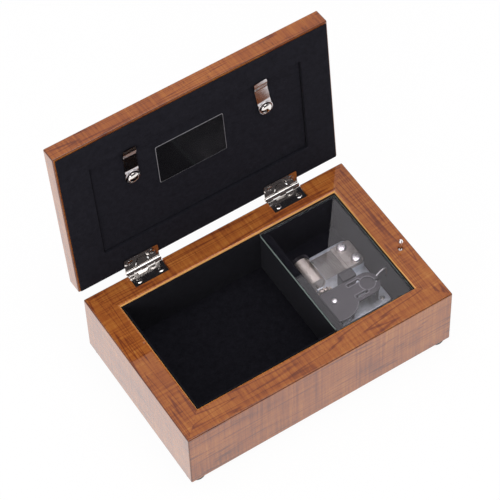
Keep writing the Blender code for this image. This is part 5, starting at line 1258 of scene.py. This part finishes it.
# %% [markdown]
# ## Movement: the bed and its bearings
# The bed is one casting: a plate with a pedestal for the comb and a post for the cylinder's front
# bearing. Blocks are joined into it before its edges are rounded, so that the rounding also runs
# round their feet, as in a mould. The back bearing is a strip bent into an angle with a round top.


# %% Bed
def upright_rod(name, place, low, high, radius, sides=40):
    """An upright cylinder at a place on the bed, between two heights."""
    return rod(name, (place[0], place[1], low), (place[0], place[1], high), radius, sides)


def bearing_bore(name, y):
    """A bore along the cylinder's axis, through a bearing at y."""
    return rod(name, (CYLINDER_X, y - 3, CYLINDER_Z), (CYLINDER_X, y + 3, CYLINDER_Z), 0.95, 32)


CYLINDER_X, CYLINDER_Z = 36.6, 24.571
GOVERNOR = (60.9, -26.3, 0)
BED_SCREWS = {"back": (46.3, 10.6), "left": (33.7, -9.6), "front": (67.3, -33.0)}
bed = block("bed_casting", (29.5, -37.2, 14.6), (71.5, 14.8, 16.6))
bevel_edges(bed, edges_along(2), 2.0, 6)
combine(bed, block("pedestal_shape", (59.45, -9.2, 16.0), (70.55, 8.34, 22.12)), "UNION")
combine(bed, block("post_shape", (34.6, -13.4, 16.0), (38.6, -12.0, 26.17)), "UNION")
round_edges(bed, 0.3)
combine(bed, bearing_bore("post_bore", -12.7))
holes = [(BARREL, 1.9), (GOVERNOR, 0.65)] + [(place, 1.5) for place in BED_SCREWS.values()]
for place, radius in holes:
    combine(bed, upright_rod("bed_hole", place, 10, 16.61, radius, 32))
even_shading(bed)
mount(bed, zinc, "base", "zinc", "bedplate")

# %% Back bearing
bearing = block("bearing_strip", (33.6, 11.14, 16.9), (39.6, 14.54, 18.3))
combine(bearing, block("upright_shape", (33.7, 11.14, 17.0), (39.5, 12.54, CYLINDER_Z)), "UNION")
crown_start, crown_end = (CYLINDER_X, 11.14, CYLINDER_Z), (CYLINDER_X, 12.54, CYLINDER_Z)
combine(bearing, rod("crown_shape", crown_start, crown_end, 2.9), "UNION")
combine(bearing, bearing_bore("bearing_bore", 12))
round_edges(bearing, 0.22, 3, 50)
even_shading(bearing)
mount(bearing, nickel, "base", "nickel", "back_bearing")

# %% [markdown]
# ## Movement: comb
# The comb is one steel plate with eighteen teeth, thick at its heel, where two screws hold it. One
# tooth is tapered and an array repeats it at the pitch of the notes. A union makes it one piece,
# and the fine bevel at the end gives each tooth an edge that catches the light.

# %% Comb
NOTES, PITCH, TOOTH_GAP = 18, 0.93, 0.45
COMB_Y, COMB_HALF = -0.43, 8.77
comb_front, comb_back = COMB_Y - COMB_HALF, COMB_Y + COMB_HALF
comb = block("steel_comb", (59.45, comb_front, 22.42), (70.55, comb_back, 25.32))
bevel_edges(comb, edges_along(2, lambda m: m.x > 70), 1.2, 1)
round_edges(comb, 0.12, 2)
plate = block("plate_shape", (57.6, comb_front + 0.02, 24.12), (60.5, comb_back - 0.02, 25.02))
combine(comb, plate, "UNION")
first_y = COMB_Y - PITCH * (NOTES - 1) / 2
half = (PITCH - TOOTH_GAP) / 2
tooth = block("tooth_shape", (43.55, first_y - half, 24.14), (57.8, first_y + half, 25.0))
edit(tooth, "VERT")
choose(tooth, "verts", lambda v: v.co.x < 44 * MM)
stretch(1, 0.8, 0.7, (43.55, first_y, 24.75))
leave_edit()
row = tooth.modifiers.new("row", "ARRAY")
row.count = NOTES
row.use_relative_offset = False
row.use_constant_offset = True
row.constant_offset_displace = mm(0, PITCH, 0)
combine(comb, apply_all(tooth), "UNION")
COMB_SCREWS = {"back": (63.55, 5.07, 25.32), "front": (66.75, -5.93, 25.32)}
for place in COMB_SCREWS.values():
    combine(comb, upright_rod("screw_hole", place, 20, 30, 1.5, 32))
round_edges(comb, 0.05, 1, 50)
even_shading(comb, 30)
mount(comb, steel, "base", "steel", "comb")


# %% Comb screws
def pan_head_screw(name, head, rise, length):
    """A machine screw with a flat-topped round head and a cross in it, seated at z = 0."""
    shank = 1.2
    profile = [(0.0, -length)] + thread(shank, -0.3, 0.2 - length, 0.4, 0.16)
    profile += [(shank, 0.0), (head, 0.0), (head, 0.35 * rise)]
    for number in range(1, 8):
        turn = math.radians(90 * number / 7)
        profile.append((head * (0.62 + 0.38 * math.cos(turn)), rise * (0.35 + 0.58 * math.sin(turn))))
    profile += [(0.3 * head, 0.98 * rise), (0.0, rise)]
    screw = turned_piece(name, profile)
    cross_recess(screw, rise, 0.55 * head, 0.5 * rise)
    return even_shading(screw, 35)


pattern = pan_head_screw("comb_screw", 3.1, 2.18, 5.0)
for end, degrees in (("back", 35), ("front", 110)):
    place = moved(*COMB_SCREWS[end]) @ turned_by(degrees)
    screw = copy_of(pattern, f"comb_screw_{end}_turned", place)
    mount(screw, plated, "base", "nickel", f"comb_screw_{end}")
remove(pattern)

# %% [markdown]
# ## Movement: cylinder and gear
# The tune is in the cylinder's pins. Each note has its own track, and each step of the tune its
# own angle. A simple rule spreads about eighty pins, so that no tune is copied. One pin is modelled
# and copied onto the drum. The gear's outline is drawn by its teeth's angles, and extruded.

# %% Cylinder
DRUM, DRUM_START, DRUM_END = 6.0, -9.6, 8.74
STEPS = 40
length = DRUM_END - DRUM_START
rim = [(0.9, 0.5), (4.9, 0.5), (5.1, 0.0), (5.85, 0.0), (DRUM, 0.15)]
profile = rim + [(r, length - z) for r, z in reversed(rim)]
drum = turned_piece("pinned_drum", profile + profile[:1], 96)
even_shading(drum, 30)
put(drum, moved(CYLINDER_X, DRUM_START, CYLINDER_Z) @ turned_by(-90, "X"))
pin_profile = [(0.0, -0.3), (0.19, -0.3), (0.19, 0.55), (0.12, 0.68), (0.0, 0.7)]
tune_pin = turned_piece("tune_pin", pin_profile, 8)
pins = []
for note in range(NOTES):
    y = DRUM_START + 0.8 + (note + 0.5) * PITCH
    for step in range(STEPS):
        if (5 * note + 3 * step) % 13 == 0 or (note + 7 * step) % 29 == 0:
            degrees = (step + 0.5) * 360 / STEPS
            x = CYLINDER_X + DRUM * math.cos(math.radians(degrees))
            z = CYLINDER_Z - DRUM * math.sin(math.radians(degrees))
            pins.append(copy_of(tune_pin, "pin_copy", moved(x, y, z) @ turned_by(90 + degrees, "Y")))
remove(tune_pin)
print("pins", len(pins))
join_pieces(drum, pins)
mount(drum, brass, body_of(nodes["cylinder"])[0], "brass", "cylinder")


# %% Gear
def toothed_disc(name, teeth, root, tip, thickness):
    """A spur gear round the Z axis, with a rounded tip on each tooth."""
    flank = (root + tip) / 2
    tooth = ((-0.30, root), (-0.17, flank), (-0.09, tip), (0.09, tip), (0.17, flank), (0.30, root))
    outline = []
    for number in range(teeth):
        for share, radius in tooth:
            turn = (number + share) * 2 * math.pi / teeth
            outline.append((radius * math.cos(turn), radius * math.sin(turn), 0.0))
    return extruded_outline(name, outline, z=thickness)


gear = toothed_disc("end_gear", 32, 5.55, 6.9, 1.8)
combine(gear, rod("gear_bore", (0, 0, -1), (0, 0, 2.8), 0.95, 32))
recess_profile = [(2.0, 1.3), (4.5, 1.3), (4.7, 2.5), (1.8, 2.5), (2.0, 1.3)]
combine(gear, turned_piece("recess_shape", recess_profile))
round_edges(gear, 0.06, 1, 50)
even_shading(gear, 30)
put(gear, moved(CYLINDER_X, 9.04, CYLINDER_Z) @ turned_by(-90, "X"))
mount(gear, plastic, body_of(nodes["cylinder_gear"])[0], "black_plastic", "cylinder_gear")

# %% [markdown]
# ## Movement: cover and governor block
# The black cover hides the spring barrel and the governor. Its outline is a large arc, an arm and a
# small arc, so it is drawn as one chain of points, filled and extruded. The raised rims round its
# slots and cap are joined on, then the slots, the dish and the notch for the stop wire are cut.


# %% Cover shapes
def on_circle(centre, radius, degrees):
    """A point at the cover's lower side, on a circle round a place."""
    turn = math.radians(degrees)
    return centre[0] + radius * math.cos(turn), centre[1] + radius * math.sin(turn), COVER_LOW


def arc_points(centre, radius, start, end, count):
    """Points on an arc from one angle to another."""
    step = (end - start) / (count - 1)
    return [on_circle(centre, radius, start + step * number) for number in range(count)]


def slot_block(name, y, grow, low, high):
    """A bar shape that runs along the cover's arm, for a slot or the rim round it."""
    middle_x, half_x, half_y = 53.9, 4.3 + grow, 1.0 + grow
    shape = block(name, (middle_x - half_x, y - half_y, low), (middle_x + half_x, y + half_y, high))
    bevel_edges(shape, edges_along(2), 0.45 + grow, 4)
    return shape


COVER_LOW, COVER_TOP = 27.1, 28.5
RIM_TOP = COVER_TOP + 0.4
outline = arc_points(BARREL, 14.4, -136.2, -34.4, 44) + arc_points(GOVERNOR, 7.9, -90, 90, 40)
outline += [(50.4, -18.4, COVER_LOW), (49.0, -18.0, COVER_LOW), (27.2, -18.0, COVER_LOW)]
cover = extruded_outline("train_cover", outline, z=COVER_TOP - COVER_LOW)
print("outline of", len(outline), "points")

# %% Cover
round_edges(cover, 0.15, 2, 60)
slot_places = [GOVERNOR[1] - 4.6, GOVERNOR[1] + 4.6]
rims = [slot_block("rim_shape", y, 0.7, 28, RIM_TOP) for y in slot_places]
for rim in rims + [upright_rod("cap_rim", GOVERNOR, 28, RIM_TOP, 5.2, 64)]:
    combine(cover, round_edges(rim, 0.16, 2, 60), "UNION")
for y in slot_places:
    combine(cover, slot_block("slot_cut", y, 0.0, 26, 30))
combine(cover, upright_rod("dish_cut", GOVERNOR, COVER_TOP - 0.5, 30, 4.5, 64))
combine(cover, upright_rod("rivet_hole", BARREL, 26, 30, 1.05, 32))
combine(cover, block("notch_cut", (65.49, -28.38, 26), (72, -26.65, 30)))
legs = [(BARREL, 11.6, 234), (BARREL, 11.6, 308), (GOVERNOR, 6.8, 65), (GOVERNOR, 6.8, -65)]
for place, radius, degrees in legs:
    foot = on_circle(place, radius, degrees)
    combine(cover, upright_rod("leg_shape", foot, 16.9, 27.4, 0.9, 24), "UNION")
even_shading(cover, 32)
mount(cover, cover_plastic, "base", "black_plastic", "movement_cover")
rivet_profile = [(0.0, 27.2), (0.9, 27.2), (0.9, 28.55), (1.8, 28.55), (1.8, 28.8), (1.65, 29.05),
                 (1.25, 29.28), (0.7, 29.38), (0.0, 29.4)]
rivet = turned_piece("cover_rivet_head", rivet_profile, 40)
put(rivet, moved(*BARREL))
even_shading(rivet, 35)
mount(rivet, plated, "base", "nickel", "cover_rivet")

# %% Governor block
ARBOR_TURN, ARBOR_Z = 0.1443, 22.183
tower = block("governor_tower", (50.13, -17.0, 16.9), (59.63, -10.4, 27.7))
round_edges(tower, 0.5, 4)
pocket = block("pocket_cut", (51.13, -16.0, 27.3), (58.63, -11.4, 29))
bevel_edges(pocket, edges_along(2), 0.5, 3)
combine(tower, pocket)
lug = block("lug_shape", (52.33, -26.7, 16.9), (54.53, -15.0, 23.98))
combine(tower, round_edges(lug, 0.25), "UNION")
bore_ends = [(BARREL[0] + reach * math.cos(ARBOR_TURN), BARREL[1] + reach * math.sin(ARBOR_TURN), ARBOR_Z)
             for reach in (12, 20)]
combine(tower, rod("arbor_bore", *bore_ends, 0.95, 24))
round_edges(tower, 0.07, 2, 55)
even_shading(tower, 32)
mount(tower, plastic, "base", "black_plastic", "governor_block")

# %% [markdown]
# ## Glass over the movement
# The cover is float glass with ground edges. Its finish is green in a band as wide as the ground
# edge, measured in from the pane's sides, because that is where one looks through the most glass.
# The ground surface itself is a thin frame round the pane, matt and pale, which shows as a line.

# %% Glass cover
GROUND = 0.1 * MM
inset, bevelled = Vector((GROUND, GROUND, 0)), mm(0, 0, 0.2)
pane = box_between("cover_pane", glass_low + inset, glass_high - inset)
round_edges(pane, 0.2, 2)
even_shading(pane, 30)
mount(pane, cover_glass, "base", "glass", "glass_cover")
ring = hollow_frame("pane_ground_edge", glass_low + bevelled, glass_high - bevelled, GROUND)
mount(ring, ground_glass, "base", "glass")

# %% [markdown]
# ## Window, picture, key, screws and feet
# These show from the lid's outer side and from below. The pane and the picture are sheets like the
# panel. The key is a thin plate with two finger holes, joined to a turned hub. The three screws that
# hold the movement are pan heads that look down, and the feet are turned from rubber.

# %% Window and picture
window = sheet_piece("window_pane", (-69.5, -95.95, 8.5), (69.5, -24.95, 10.5), 0.4, 0.2)
mount(window, window_glass, "lid", "glass", "lid_window")
print_card = sheet_piece("picture_behind_glass", (-69.5, -95.95, 7.7), (69.5, -24.95, 8.2), 0.4, 0.1)
mount(print_card, picture, "lid", "picture", "picture_card")

# %% Key
hub_profile = [(0.0, 1.0), (1.9, 1.0), (2.5, 1.4), (2.7, 2.0), (2.7, 6.6), (2.3, 6.9), (2.3, 7.4),
               (2.7, 7.7), (2.7, 9.5), (2.5, 9.7), (0.0, 9.7)]
key = turned_piece("wing_key", hub_profile)
wings = block("wing_shape", (-9, -0.65, 1), (9, 0.65, 6))
bevel_edges(wings, edges_along(1), 2.3, 8)
for x in (-6.5, 6.5):
    combine(wings, rod("finger_hole", (x, -2, 3.5), (x, 2, 3.5), 1.25, 32))
combine(key, round_edges(wings, 0.25, 3, 50), "UNION")
even_shading(key, 35)
put(key, moved(*BARREL))
mount(key, nickel, body_of(nodes["winding_key"])[0], "nickel", "winding_key")

# %% Movement screws
pattern = pan_head_screw("bed_screw", 2.6, 1.2, 6.6)
for (end, (x, y)), degrees in zip(BED_SCREWS.items(), (20, 75, 130)):
    place = moved(x, y, 9.7) @ turned_by(180, "X") @ turned_by(degrees)
    screw = copy_of(pattern, f"bed_screw_{end}", place)
    mount(screw, screw_steel, "base", "steel", f"movement_screw_{end}")
remove(pattern)

# %% Feet
foot_profile = [(0.0, 0.5), (2.6, 0.5), (3.0, 0.3), (3.4, 0.05), (3.8, 0.0), (4.9, 0.0), (5.4, 0.12),
                (5.75, 0.4), (5.95, 0.9), (6.0, 1.5), (6.0, 2.95), (0.0, 2.95)]
for name in [name for name in nodes if name.startswith("foot_")]:
    low, high = solid_box(name)
    foot = turned_piece(name.replace("foot", "rubber_foot"), foot_profile)
    put(foot, moved(*((low + high) / 2).xy, 0))
    even_shading(foot, 35)
    mount(foot, rubber, "base", "rubber", name)
